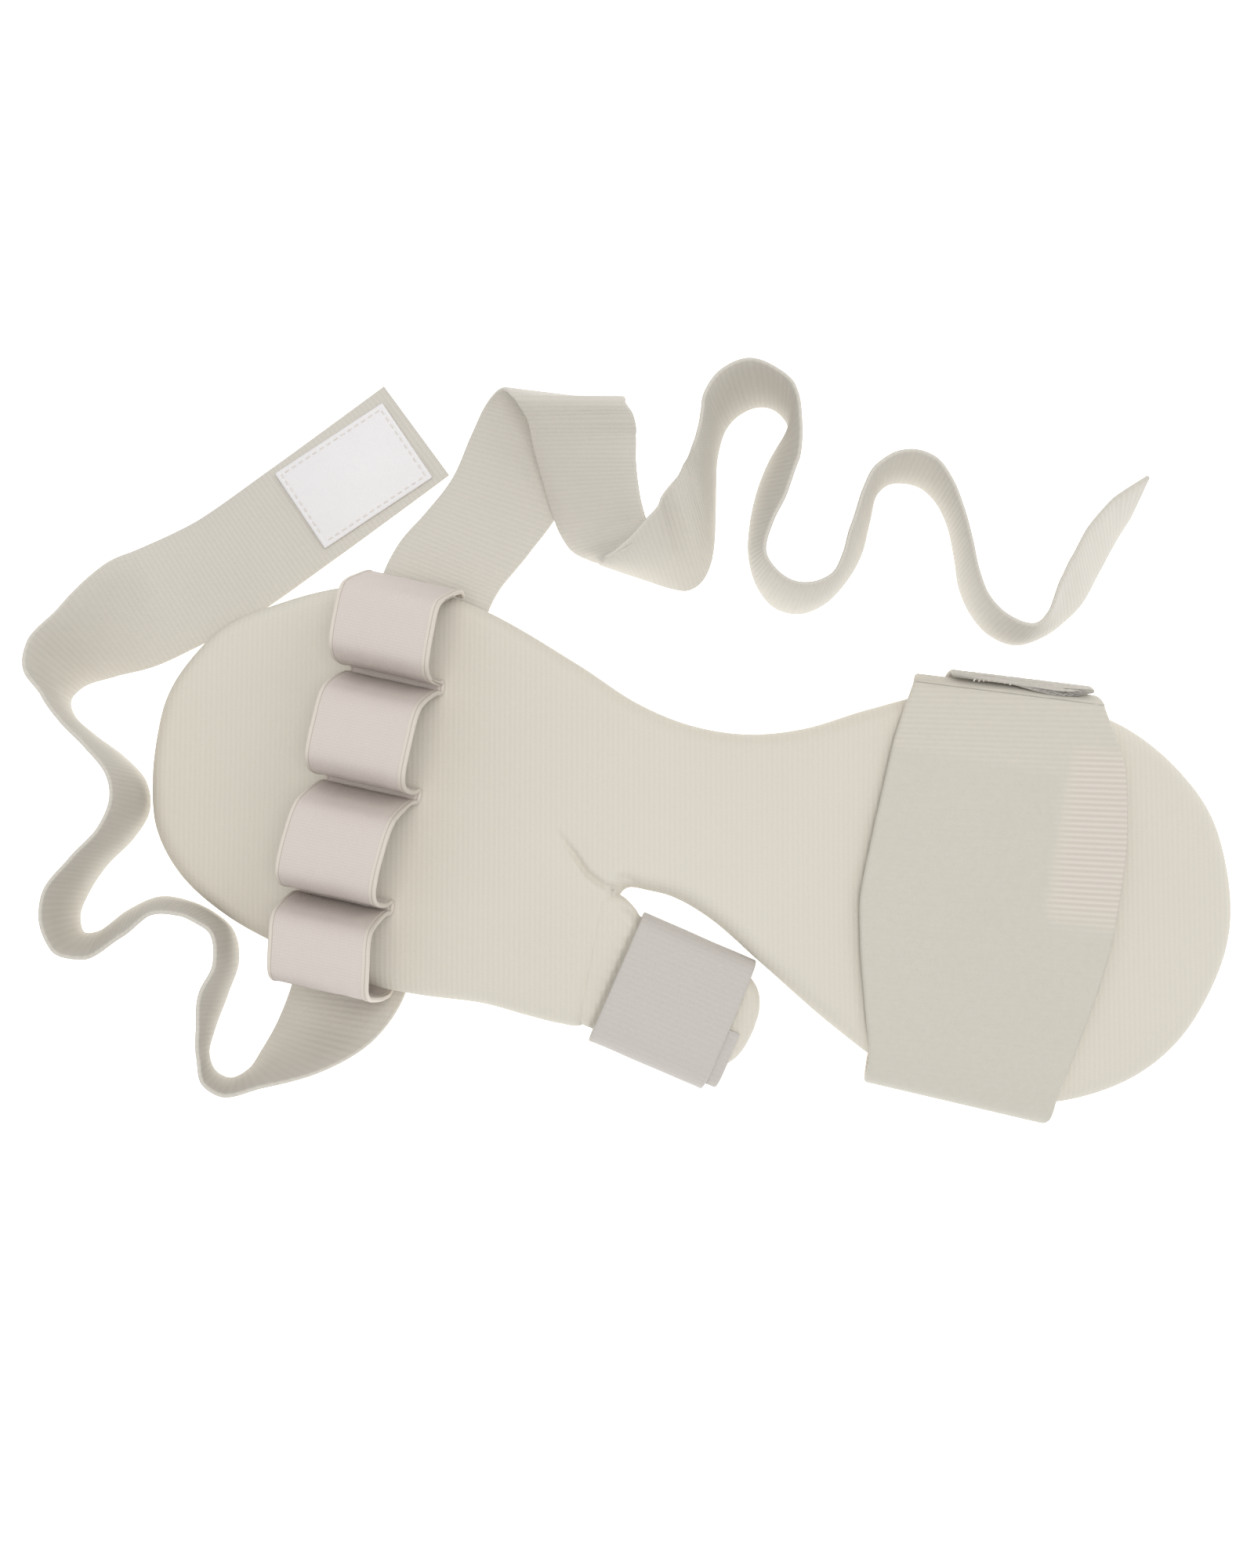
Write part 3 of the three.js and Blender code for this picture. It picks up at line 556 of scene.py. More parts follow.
def curve_at(points, t, closed=False):
    """Points of a centripetal Catmull-Rom curve at shares t of its row count."""
    p = np.asarray(points, float)
    n = len(p)
    segments = n if closed else n - 1
    at = np.clip(np.asarray(t, float), 0, 1) * segments
    i = np.minimum(at.astype(int), segments - 1)
    w = (at - i)[:, None]
    if closed:
        p0, p1, p2, p3 = p[(i - 1) % n], p[i % n], p[(i + 1) % n], p[(i + 2) % n]
    else:
        padded = np.vstack([2 * p[0] - p[1], p, 2 * p[-1] - p[-2]])
        p0, p1, p2, p3 = padded[i], padded[i + 1], padded[i + 2], padded[i + 3]
    d0, d1, d2 = (
        np.maximum(np.linalg.norm(b - a, axis=1), 1e-8)[:, None] ** 0.5
        for a, b in ((p0, p1), (p1, p2), (p2, p3))
    )
    t1 = ((p1 - p0) / d0 - (p2 - p0) / (d0 + d1) + (p2 - p1) / d1) * d1
    t2 = ((p2 - p1) / d1 - (p3 - p1) / (d1 + d2) + (p3 - p2) / d2) * d1
    c2 = -3 * p1 + 3 * p2 - 2 * t1 - t2
    c3 = 2 * p1 - 2 * p2 + t1 + t2
    return p1 + t1 * w + c2 * w**2 + c3 * w**3


def travelled(points):
    """Distance along a line of points to each of them."""
    return np.concatenate([[0], np.cumsum(np.linalg.norm(np.diff(points, axis=0), axis=1))])


def path_length(points):
    return np.linalg.norm(np.diff(points, axis=0), axis=1).sum()


def even_shares(points, spacing, closed=False):
    """Shares of a curve's row count that are evenly spaced along it, and the distance to each."""
    fine = np.linspace(0, 1, 40 * len(points) + 1)
    distance = travelled(curve_at(points, fine, closed))
    count = max(int(round(distance[-1] / spacing)), 4)
    wanted = np.linspace(0, distance[-1], count + 1)
    if closed:
        wanted = wanted[:-1]
    return np.interp(wanted, distance, fine), wanted


def value_at(table, x):
    """A smooth reading of a two-column table at each x."""
    a, b = np.asarray(table, float).T
    slope = np.gradient(b, a)
    slope[0] = slope[-1] = 0
    x = np.clip(x, a[0], a[-1])
    i = np.clip(np.searchsorted(a, x, side="right") - 1, 0, len(a) - 2)
    h = a[i + 1] - a[i]
    t = (x - a[i]) / h
    keep = (1 + 2 * t) * (1 - t) ** 2 * b[i] + t * t * (3 - 2 * t) * b[i + 1]
    return keep + h * (t * (1 - t) ** 2 * slope[i] - t * t * (1 - t) * slope[i + 1])


def smooth(x):
    """From 0 to 1 as x goes from 0 to 1, level at both ends."""
    x = np.clip(x, 0, 1)
    return x * x * (3 - 2 * x)


def near(x, place, reach):
    """1 at a place, falling to 0 beyond its reach."""
    return np.exp(-(((x - place) / reach) ** 2))


def uneven(x, y, waves):
    """A slow, smooth unevenness."""
    height, size, start = waves
    a, b = x / size + 1.7 * start, y / size - 0.9 * start
    swells = np.sin(a + 1.3 * np.sin(0.7 * b + start)) + np.sin(1.1 * b + 0.8 * np.sin(0.9 * a - start))
    return height * (0.5 * swells)


def ribs(u, pitch, depth):
    """Rounded ribs with narrow valleys."""
    return depth * (np.sqrt(np.abs(np.cos(math.pi * u / pitch))) - RIB_SINK)


def ripple(u, pitch):
    return np.cos(2 * math.pi * u / pitch)


def edge_wave(u, from_edge, wave):
    """The small waves of an overlocked edge."""
    height, pitch = wave
    return height * ripple(u, pitch) * near(from_edge, 0, EDGE_WAVE_REACH)


# Meshes from rings of points


def signed_volume(mesh):
    mesh.calc_loop_triangles()
    corners = np.zeros(len(mesh.loop_triangles) * 3, np.int32)
    mesh.loop_triangles.foreach_get("vertices", corners)
    points = np.zeros(len(mesh.vertices) * 3)
    mesh.vertices.foreach_get("co", points)
    a, b, c = np.moveaxis(points.reshape(-1, 3)[corners.reshape(-1, 3)], 1, 0)
    return float(np.einsum("ij,ij->i", a, np.cross(b, c)).sum())


def mesh_piece(name, vertices, faces):
    """A smooth piece from points of the drawing, with its faces turned outward."""
    mesh = bpy.data.meshes.new(name)
    mesh.from_pydata((np.asarray(vertices) * MILLIMETRE + FRAME_SHIFT).tolist(), [], faces)
    mesh.polygons.foreach_set("use_smooth", [True] * len(mesh.polygons))
    mesh.update()
    if signed_volume(mesh) < 0:
        mesh.flip_normals()
    piece = bpy.data.objects.new(name, mesh)
    bpy.context.scene.collection.objects.link(piece)
    return piece


def mesh_from_rings(name, rings, closed, attributes):
    """A closed surface through rings of equal count, with one value of each attribute at each point."""
    count = rings.shape[1]
    vertices = rings.reshape(-1, 3)
    steps = len(rings) if closed else len(rings) - 1
    i = np.arange(steps)[:, None] * count
    k = ((np.arange(steps) + 1) % len(rings))[:, None] * count
    j = np.arange(count)[None, :]
    j_next = (j + 1) % count
    faces = np.stack([i + j, i + j_next, k + j_next, k + j], axis=-1).reshape(-1, 4).tolist()
    ends = [] if closed else [0, len(rings) - 1]
    for tip, ring in enumerate(ends, len(vertices)):
        for a in range(count):
            first, second = ring * count + a, ring * count + (a + 1) % count
            faces.append((second, first, tip) if ring == 0 else (first, second, tip))
    piece = mesh_piece(name, np.vstack([vertices, *(rings[ring].mean(axis=0) for ring in ends)]), faces)
    for label, values in attributes.items():
        flat = np.concatenate([values.reshape(-1), [values[ring].mean() for ring in ends]])
        attribute = piece.data.attributes.new(label, "FLOAT", "POINT")
        attribute.data.foreach_set("value", flat.astype(np.float32))
    return piece


def edge_spread(width, round_edge, middle_count):
    """Places across a band, closer together where its edge is rounded."""
    rim = round_edge * np.array([0.0, 0.12, 0.4, 1.0])
    middle = np.linspace(-width / 2 + round_edge, width / 2 - round_edge, middle_count + 2)[1:-1]
    return np.concatenate([-width / 2 + rim, middle, (width / 2 - rim)[::-1]])


def rounded(from_edge, half, least):
    """Half thickness of a cloth with rounded edges, whose very edge keeps a little of it."""
    inset = np.clip(from_edge / half, 0, 1)
    return half * np.sqrt(np.maximum(1 - (1 - inset) ** 2, least))


def both_faces(name, top, bottom, closed, attributes):
    """A band's surface from the points of its two faces."""
    def join(upper, lower):
        return np.concatenate([upper, lower[:, ::-1]], axis=1)

    return mesh_from_rings(name, join(top, bottom), closed, {
        label: join(values, values) for label, values in attributes.items()
    })


def band(name, centres, sides, along, across, thickness, relief):
    """A flat band along a centre line. relief(along, across) is how far each face swells, in mm."""
    normals = np.cross(np.gradient(centres, axis=0), sides)
    normals /= np.linalg.norm(normals, axis=1)[:, None]
    u, v = np.meshgrid(along, across, indexing="ij")
    half = rounded(across[-1] - np.abs(v), thickness / 2, EDGE_LEAST) + relief(u, v)
    line = centres[:, None, :] + v[..., None] * sides[:, None, :]
    out = normals[:, None, :] * half[..., None]
    return both_faces(name, line + out, line - out, False, {"along": u, "across": v})


def straight_line(rows, spacing, side):
    """Centres, sides and distances of a band whose width keeps one direction."""
    shares, along = even_shares(rows, spacing)
    centres = curve_at(rows, shares)
    return centres, np.repeat(side[None], len(centres), axis=0), along


def as_sheet(centres, sides, width, length):
    """Works out the area that a band covers on the board, and keeps nothing of it."""
    steps = np.diff(centres, axis=0)
    middle = (sides[1:] + sides[:-1]) / 2
    swept = float(np.linalg.norm(np.cross(steps, middle), axis=1).sum() * width * MILLIMETRE**2)


# The part's frame: the drawing's zero is found from the board's own box

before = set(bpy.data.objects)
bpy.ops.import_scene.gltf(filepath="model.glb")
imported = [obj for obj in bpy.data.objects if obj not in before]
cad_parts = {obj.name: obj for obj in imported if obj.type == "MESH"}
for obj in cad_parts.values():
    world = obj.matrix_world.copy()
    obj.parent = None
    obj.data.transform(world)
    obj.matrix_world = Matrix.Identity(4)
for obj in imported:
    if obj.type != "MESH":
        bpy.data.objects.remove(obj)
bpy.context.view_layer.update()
board_low, board_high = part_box("padded_board")
outline_rows = np.array([[a * BOARD_LENGTH, b * BOARD_WIDTH, 0] for a, b in BOARD_OUTLINE])
outline_shares, _ = even_shares(outline_rows, OUTLINE_STEP, closed=True)
outline = curve_at(outline_rows, outline_shares, closed=True)[:, :2]
FRAME_SHIFT = np.array([
    (board_low.x + board_high.x) / 2 - MILLIMETRE * (outline[:, 0].max() + outline[:, 0].min()) / 2,
    board_high.y - MILLIMETRE * outline[:, 1].max(),
    0.0,
])


# Padded board


def underside_at(x):
    return BOARD_RISE * np.maximum(value_at(BOARD_HEIGHTS, np.asarray(x) / BOARD_LENGTH), 0)


def board_middle(x):
    return underside_at(x) + BOARD_THICKNESS / 2


def outline_distance(shape, points):
    """Distance from each point to a closed outline."""
    run = np.roll(shape, -1, axis=0) - shape
    length = (run * run).sum(axis=1)
    nearest = np.empty(len(points))
    for start in range(0, len(points), POINTS_AT_ONCE):
        there = slice(start, start + POINTS_AT_ONCE)
        q = points[there, None, :] - shape[None]
        t = np.clip((q * run).sum(axis=2) / length, 0, 1)
        nearest[there] = np.linalg.norm(q - t[..., None] * run, axis=2).min(axis=1)
    return nearest


def outline_span(shape, s):
    """Lowest and highest place where the line of the knit at s crosses the outline."""
    a, b = shape, np.roll(shape, -1, axis=0)
    crossing = (a[:, 0] - s) * (b[:, 0] - s) <= 0
    a, b = a[crossing], b[crossing]
    run = np.where(np.abs(b[:, 0] - a[:, 0]) < 1e-9, 1e-9, b[:, 0] - a[:, 0])
    y = a[:, 1] + (s - a[:, 0]) / run * (b[:, 1] - a[:, 1])
    return y.min(), y.max()


def pad(name, shape, thickness, shear, middle, relief, to_plan, top_rows, bottom_rows, crowding):
    """A pad over a plan outline: even thickness, rounded edges, and ribs along the skewed knit."""
    sheared = np.column_stack([shape[:, 0] + shear * shape[:, 1], shape[:, 1]])
    low_s, high_s = sheared[:, 0].min(), sheared[:, 0].max()
    count = int((high_s - low_s) / (BOARD_RIB_PITCH / STATIONS_PER_RIB))
    stations = low_s + (high_s - low_s) * np.linspace(0, 1, count + 2)[1:-1]
    stations = np.concatenate([[low_s + END_STATION], stations, [high_s - END_STATION]])
    radius = thickness / 2
    rim = radius * (1 - np.cos(np.linspace(0, math.pi / 2, RIM_POINTS)))

    def section(y0, y1, inner, rim_steps):
        edge = min(1.0, (y1 - y0) / 3 / radius) * rim_steps
        fine = np.linspace(y0 + edge[-1], y1 - edge[-1], 400)
        closeness = 1 + crowding * near(fine, *CROWDED_ROWS)
        counted = np.concatenate([[0], np.cumsum((closeness[1:] + closeness[:-1]) / 2)])
        middle_rows = np.interp(np.linspace(0, counted[-1], inner + 2)[1:-1], counted, fine)
        return np.concatenate([y0 + edge, middle_rows, (y1 - edge)[::-1]])

    faces = []
    for sign, inner, rim_steps in ((1, top_rows, rim), (-1, bottom_rows, rim[::2])):
        sections = []
        for station in stations:
            y = section(*outline_span(sheared, station), inner, rim_steps)
            if sign < 0:
                y = y[1:-1][::-1]
            sections.append(np.column_stack([station - shear * y, y]))
        x, y = np.concatenate(sections).T
        distance = outline_distance(shape, np.column_stack([x, y])).reshape(len(stations), -1)
        if sign > 0:
            distance[:, [0, -1]] = 0
        distance = distance.reshape(-1)
        plan = to_plan(x, y, np.zeros(len(x)))
        s = plan[:, 0] + KNIT_SHEAR * plan[:, 1]
        half = rounded(distance, radius, 0)
        half = half + ribs(s, BOARD_RIB_PITCH, BOARD_RIB_DEPTH) * smooth(distance / RIB_FADE)
        z = relief(x, y, distance, middle(x, y) + sign * half, sign)
        values = np.column_stack([to_plan(x, y, z), s, plan[:, 1]])
        faces.append(values.reshape(len(stations), -1, values.shape[1]))
    rings = np.concatenate(faces, axis=1)
    return mesh_from_rings(name, rings[..., :3], False, {"along": rings[..., 3], "across": rings[..., 4]})


turn = math.radians(TAB_HEADING)
tab_along = np.array([math.cos(turn), math.sin(turn)])
tab_across = np.array([-math.sin(turn), math.cos(turn)])
tab_root_height = float(board_middle(TAB_START[0])) + (BOARD_THICKNESS - TAB_THICKNESS) / 2 - TAB_ROOT_SINK
tab_tip_height = TAB_THICKNESS / 2 + 2 * THUMB_STRAP_THICKNESS + TAB_TIP_GAP * CLEARANCE


def tab_middle(s):
    fall = (tab_root_height - tab_tip_height) / THUMB_STRAP_WIDTH
    return tab_root_height - fall * (s + np.hypot(s, TAB_BEND) - TAB_BEND) / 2


def from_tab(s, n, z):
    """Points of the drawing from places along and across the tab."""
    s, n, z = np.broadcast_arrays(s, n, z)
    plan = np.array(TAB_START) + s[..., None] * tab_along + n[..., None] * tab_across
    return np.concatenate([plan, z[..., None]], axis=-1)


def crease(x, y, line, width):
    """How near a point is to a drawn crease, from 0 to 1, and how far along the crease it is."""
    points = np.column_stack([x, y])
    line = np.asarray(line, float)
    best = np.full(len(points), np.inf)
    place = np.zeros(len(points))
    for k in range(len(line) - 1):
        d = line[k + 1] - line[k]
        t = np.clip(((points - line[k]) @ d) / (d @ d), 0, 1)
        gap = np.linalg.norm(points - line[k] - t[:, None] * d, axis=1)
        nearer = gap < best
        best = np.where(nearer, gap, best)
        place = np.where(nearer, (k + t) / (len(line) - 1), place)
    return near(best, 0, width), place


def creased(x, y, distance, z):
    for line, width, deep in CROTCH_CREASES:
        share, place = crease(x, y, line, width)
        z = z - deep * share * np.sin(0.3 + 2.4 * np.clip(place, 0, 1)) * smooth(distance / RIB_FADE)
    return z


def calm(x, y):
    """No slow unevenness where the board and its tab meet."""
    away = np.hypot(x - CROTCH[0], CROTCH_FLATTENING * (y - CROTCH[1]))
    return smooth((away - CROTCH_RADIUS) / CROTCH_FADE)


def board_relief(x, y, distance, z, sign):
    z = z + uneven(x, y, BOARD_WAVES) * smooth(distance / WAVES_FADE) * calm(x, y)
    return creased(x, y, distance, z) if sign > 0 else z


def tab_relief(s, n, distance, z, sign):
    if sign < 0:
        return z
    x, y, _ = from_tab(s, n, np.zeros(len(s))).T
    depth, place, run = TAB_SINK
    height, pitch = TAB_GATHERS
    sunk = depth * smooth((place - x) / run)
    gathers = height * np.sin(2 * math.pi * n / pitch + 0.8 * np.sin(n / 3.0)) * near(s, *TAB_GATHERS_AT)
    drawn_in = TAB_DRAWN_IN * near(s, *TAB_DRAWN_IN_AT)
    return creased(x, y, distance, z) - sunk - drawn_in + gathers


def make_board():
    return pad(
        "board_cover", outline, BOARD_THICKNESS, KNIT_SHEAR, lambda x, y: board_middle(x), board_relief,
        lambda x, y, z: np.column_stack([x, y, z]), top_rows=54, bottom_rows=12, crowding=6.0,
    )


def make_tab():
    half = TAB_WIDTH / 2
    tip = [
        ((TAB_LENGTH - TAB_TIP_ROUND) / 2, 0.98),
        (TAB_LENGTH - TAB_TIP_ROUND, 0.93),
        (TAB_LENGTH - TAB_TIP_ROUND / 3, 0.70),
        (TAB_LENGTH - TAB_TIP_ROUND / 12, 0.36),
    ]
    wrist_side = [
        (-TAB_ROOT, 0.55),
        (-TAB_ROOT + half / 3, 1.06),
        (-TAB_ROOT / 3, 1.20),
        (-TAB_ROOT / 10, 1.09),
        (0.0, 1.0),
    ]
    palm_side = [
        (-TAB_ROOT, 0.55),
        (-TAB_ROOT + half / 3, 0.94),
        (-TAB_ROOT / 3, 1.0),
    ]
    there = [(s, share * half, 0) for s, share in wrist_side + tip]
    back = [(s, -share * half, 0) for s, share in palm_side + tip]
    rows = np.array(there + back[::-1])
    shares, _ = even_shares(rows, TAB_OUTLINE_STEP, closed=True)
    return pad(
        "thumb_tab_cover", curve_at(rows, shares, closed=True)[:, :2], TAB_THICKNESS, 0.0,
        lambda s, n: tab_middle(s), tab_relief, from_tab, top_rows=64, bottom_rows=8, crowding=0.0,
    )


# Finger strap


def strap_line(route, gap, spacing):
    """Centres, sides and distances of the finger strap, lifted where it would pass under the table."""
    rows = np.asarray(route, float)
    bases = rows[:, :3] * [BOARD_LENGTH, BOARD_WIDTH, STRAP_WIDTH]
    bases[0, 1] += gap
    heading, lean = np.radians(rows[:, 3:]).T
    ways = np.column_stack([np.cos(lean) * np.cos(heading), np.cos(lean) * np.sin(heading), np.sin(lean)])
    shares, along = even_shares(bases, spacing)
    base = curve_at(bases, shares)
    sides = curve_at(ways, shares)
    tangents = np.gradient(base, axis=0)
    tangents /= np.linalg.norm(tangents, axis=1)[:, None]
    sides -= SQUARENESS * (sides * tangents).sum(axis=1)[:, None] * tangents
    sides /= np.linalg.norm(sides, axis=1)[:, None]
    centres = base + sides * STRAP_WIDTH / 2
    upright = np.abs(sides[:, 2])
    ends = centres[:, 2] - upright * STRAP_WIDTH / 2
    flatness = np.sqrt(1 - np.clip(upright, 0, 1) ** 2)
    lowest = ends - (STRAP_THICKNESS / 2 + WEBBING_RIB_DEPTH * (1 - RIB_SINK)) * flatness
    centres[:, 2] -= np.minimum(lowest, 0)
    return centres, sides, along


def make_strap(name, route, gap, rib_depth):
    """One half of the finger strap, and its centre line."""
    centres, sides, along = strap_line(route, gap, WEBBING_RIB_PITCH / RINGS_PER_RIB)

    def relief(u, v):
        inside = smooth((STRAP_WIDTH / 2 - np.abs(v)) / WEBBING_SELVEDGE)
        return ribs(u, WEBBING_RIB_PITCH, rib_depth) * inside

    across = edge_spread(STRAP_WIDTH, STRAP_THICKNESS / 2, 5)
    piece = band(name, centres, sides, along, across, STRAP_THICKNESS, relief)
    as_sheet(centres, sides, STRAP_WIDTH, travelled(centres)[-1])
    return piece, centres


# Hook patch, sewn on the strap's end


def make_patch(centres):
    """The patch, its middle, and its directions along and across."""
    tip = centres[-1]
    along = centres[-30] - tip
    along[2] = 0
    along /= np.linalg.norm(along)
    angle = math.atan2(-along[1], -along[0]) + math.radians(PATCH_TURN)
    way = np.array([math.cos(angle), math.sin(angle), 0])
    side = np.array([-way[1], way[0], 0])
    middle = tip + along * (PATCH_END_MARGIN + PATCH_LENGTH / 2)
    middle[2] = STRAP_THICKNESS + CLEARANCE + PATCH_THICKNESS / 2
    half_length, half_width = PATCH_LENGTH / 2, PATCH_WIDTH / 2
    places = np.linspace(-half_length, half_length, 120)
    line = middle + places[:, None] * way
    sides = np.repeat(side[None], len(line), axis=0)
    across = np.linspace(-half_width, half_width, 90)

    def relief(u, v):
        from_edge = np.minimum(half_length - np.abs(u), half_width - np.abs(v))
        border = -PATCH_GROOVE * near(from_edge, PATCH_STITCH_INSET, PATCH_SOFTNESS)
        hooks = HOOK_HEIGHT * np.sin(2 * math.pi * u / HOOK_PITCH) * np.sin(2 * math.pi * v / HOOK_PITCH)
        closing = [0, half_length - PATCH_SOFTNESS, half_length]
        pinched = np.interp(np.abs(u), closing, [0, 0, -PATCH_PINCH])
        return border + hooks * smooth((from_edge - HOOK_BORDER) / PATCH_SOFTNESS) + pinched

    piece = band("hook_tape", line, sides, places, across, PATCH_THICKNESS, relief)
    return piece, middle, way, side


def stitch_row(name, points, length, gap, radius):
    """Short stitches laid along a line of points, each a small rounded bar."""
    distance = travelled(points)
    shares, heights, sizes = np.array(STITCH_SHAPE).T
    angles = math.pi * 2 * np.arange(STITCH_SIDES) / STITCH_SIDES
    vertices, faces = [], []
    start = gap
    while start + length < distance[-1]:
        places = start + length * shares
        line = np.column_stack([np.interp(places, distance, points[:, k]) for k in range(3)])
        way = line[-1] - line[0]
        side = np.cross(way / np.linalg.norm(way), UP)
        first, last = len(vertices), len(vertices) + STITCH_SIDES * (len(line) - 1)
        for centre, height, size in zip(line, radius * heights, radius * sizes):
            for angle in angles:
                rise = height + size * math.sin(angle)
                vertices.append(centre + UP * rise + side * size * math.cos(angle))
        for ring in range(first, last, STITCH_SIDES):
            for j in range(STITCH_SIDES):
                a, b = ring + j, ring + (j + 1) % STITCH_SIDES
                faces.append((a, b, b + STITCH_SIDES, a + STITCH_SIDES))
        faces.append(tuple(range(first + STITCH_SIDES - 1, first - 1, -1)))
        faces.append(tuple(range(last, last + STITCH_SIDES)))
        start += length + gap
    return mesh_piece(name, vertices, faces)


def patch_stitches(middle, way, side):
    a, b = PATCH_LENGTH / 2 - PATCH_STITCH_INSET, PATCH_WIDTH / 2 - PATCH_STITCH_INSET
    corners = np.array([(-a, -b), (a, -b), (a, b), (-a, b), (-a, -b)])
    height = STRAP_THICKNESS + CLEARANCE + PATCH_THICKNESS - PATCH_STITCH_SINK
    points = []
    for start, end in zip(corners[:-1], corners[1:]):
        for t in np.linspace(0, 1, 40, endpoint=False):
            x, y = start + t * (end - start)
            points.append(middle + way * x + side * y)
    points = np.array(points)
    points[:, 2] = height
    return stitch_row("patch_stitching", points, *PATCH_STITCH)


# Finger loops, one elastic strip

loop_side = np.array([math.cos(math.radians(LOOP_HEADING)), math.sin(math.radians(LOOP_HEADING)), 0.0])


def loop_along(y):
    return BOARD_LENGTH * value_at(LOOP_TACKS, np.asarray(y) / BOARD_WIDTH)


def loop_point(y, z, skew):
    return [float(loop_along(y)) - skew * LOOP_SKEW, float(y), float(z)]


def board_top_at(y):
    return float(underside_at(loop_along(y) + LOOP_WIDTH / 2)) + BOARD_THICKNESS


def loop_rows():
    """Centre line of the strip, from the little finger's edge over the loops and under the board."""
    seat = LOOP_GAP * CLEARANCE + LOOP_THICKNESS / 2
    low_edge, high_edge = outline_span(outline, float(loop_along(0)))
    middle = float(board_middle(loop_along(0)))
    first = high_edge + seat
    last = low_edge - seat - LOOP_OVERHANG
    rows = [
        loop_point(first, middle - BOARD_THICKNESS / 6, 0),
        loop_point(first + LOOP_THICKNESS / 3, middle + BOARD_THICKNESS / 4, 0.1),
    ]
    tacks = [first] + [across * BOARD_WIDTH for across, _ in LOOP_TACKS[-2:0:-1]] + [last]
    for i in range(len(tacks) - 1):
        pitch = tacks[i + 1] - tacks[i]
        profile = LOOP_PROFILE[2 if i == 0 else 0:-2 if i == len(tacks) - 2 else None]
        for across, height, skew in profile:
            y = tacks[i] + across * pitch
            rows.append(loop_point(y, board_top_at(y) + seat + height * LOOP_HEIGHT, skew))
    under = (STRAP_THICKNESS + float(underside_at(loop_along(last) - LOOP_WIDTH / 2))) / 2
    for across, height, skew in LOOP_TUCK_ROWS:
        rows.append(loop_point(last + across * LOOP_TUCK, under + height * (middle - under), skew))
    return np.array(rows)


def make_loops():
    centres, sides, along = straight_line(loop_rows(), LOOP_STEP, loop_side)
    edge = LOOP_EDGE_WIDTH
    half = LOOP_WIDTH / 2
    hem = half - 2.4 * edge
    across = np.concatenate([
        np.linspace(-half, -hem, 14),
        np.linspace(-hem, hem, 26)[1:-1],
        np.linspace(hem, half, 14),
    ])

    def relief(u, v):
        from_edge = half - np.abs(v)
        first, second = (
            height * near(from_edge, place * edge, reach * edge)
            for height, place, reach in (LOOP_BEAD, LOOP_SECOND_BEAD)
        )
        lines = LOOP_LINE_DEPTH * ripple(v, LOOP_LINE_PITCH) * smooth((from_edge - 2 * edge) / edge)
        return first + second * (v > 0) + lines + uneven(0.25 * u, v, LOOP_WAVES) - LOOP_SINK

    piece = band("finger_loop_elastic", centres, sides, along, across, LOOP_THICKNESS, relief)
    as_sheet(centres, sides, LOOP_WIDTH, path_length(centres))
    return piece


# Thumb strap, wound one turn and a half


def make_thumb_strap():
    corner = TAB_THICKNESS / 2
    inner = THUMB_STRAP_GAP * CLEARANCE + THUMB_STRAP_THICKNESS / 2
    flat, turned, layers, drift = np.array(THUMB_STRAP_TURNS, float).T
    out = corner + inner + layers * (THUMB_STRAP_THICKNESS + CLEARANCE)
    angle = np.radians(turned)
    n = flat * (TAB_WIDTH / 2 - corner) + out * np.cos(angle)
    s = drift * THUMB_STRAP_DRIFT
    fall = float(tab_middle(THUMB_STRAP_WIDTH) - tab_middle(0.0)) / THUMB_STRAP_WIDTH
    side = np.array([*tab_along, fall])
    side /= np.linalg.norm(side)
    mid = THUMB_STRAP_WIDTH / 2
    rows = from_tab(mid + s, n, tab_middle(mid) + s * fall + out * np.sin(angle))
    centres, sides, along = straight_line(rows, THUMB_STRAP_STEP, side)

    def relief(u, v):
        stitched = edge_wave(u, mid - np.abs(v), THUMB_EDGE_WAVE)
        return stitched + uneven(u, v, THUMB_WAVES) + ribs(u, BAND_RIB_PITCH, THUMB_RIB_DEPTH)

    across = edge_spread(THUMB_STRAP_WIDTH, THUMB_STRAP_THICKNESS / 2, 40)
    piece = band("thumb_strap_knit", centres, sides, along, across, THUMB_STRAP_THICKNESS, relief)
    as_sheet(centres, sides, THUMB_STRAP_WIDTH, path_length(centres))
    return piece


# Forearm strap and its closed end

strap_middle = FOREARM_STRAP_ALONG * BOARD_LENGTH
strap_lean = math.tan(math.radians(FOREARM_STRAP_FLARE))
strap_flare = strap_lean / (BOARD_WIDTH / 2)
forearm_underside = float(underside_at(strap_middle))
forearm_middle = forearm_underside + BOARD_THICKNESS / 2


def board_reach(sign):
    """How far out the board's edge comes under the strap, as seen at the strap's middle."""
    under = outline[np.abs(outline[:, 0] - strap_middle) < FOREARM_STRAP_WIDTH / 2]
    return float((sign * under[:, 1] / (1 + strap_flare * (under[:, 0] - strap_middle))).max())


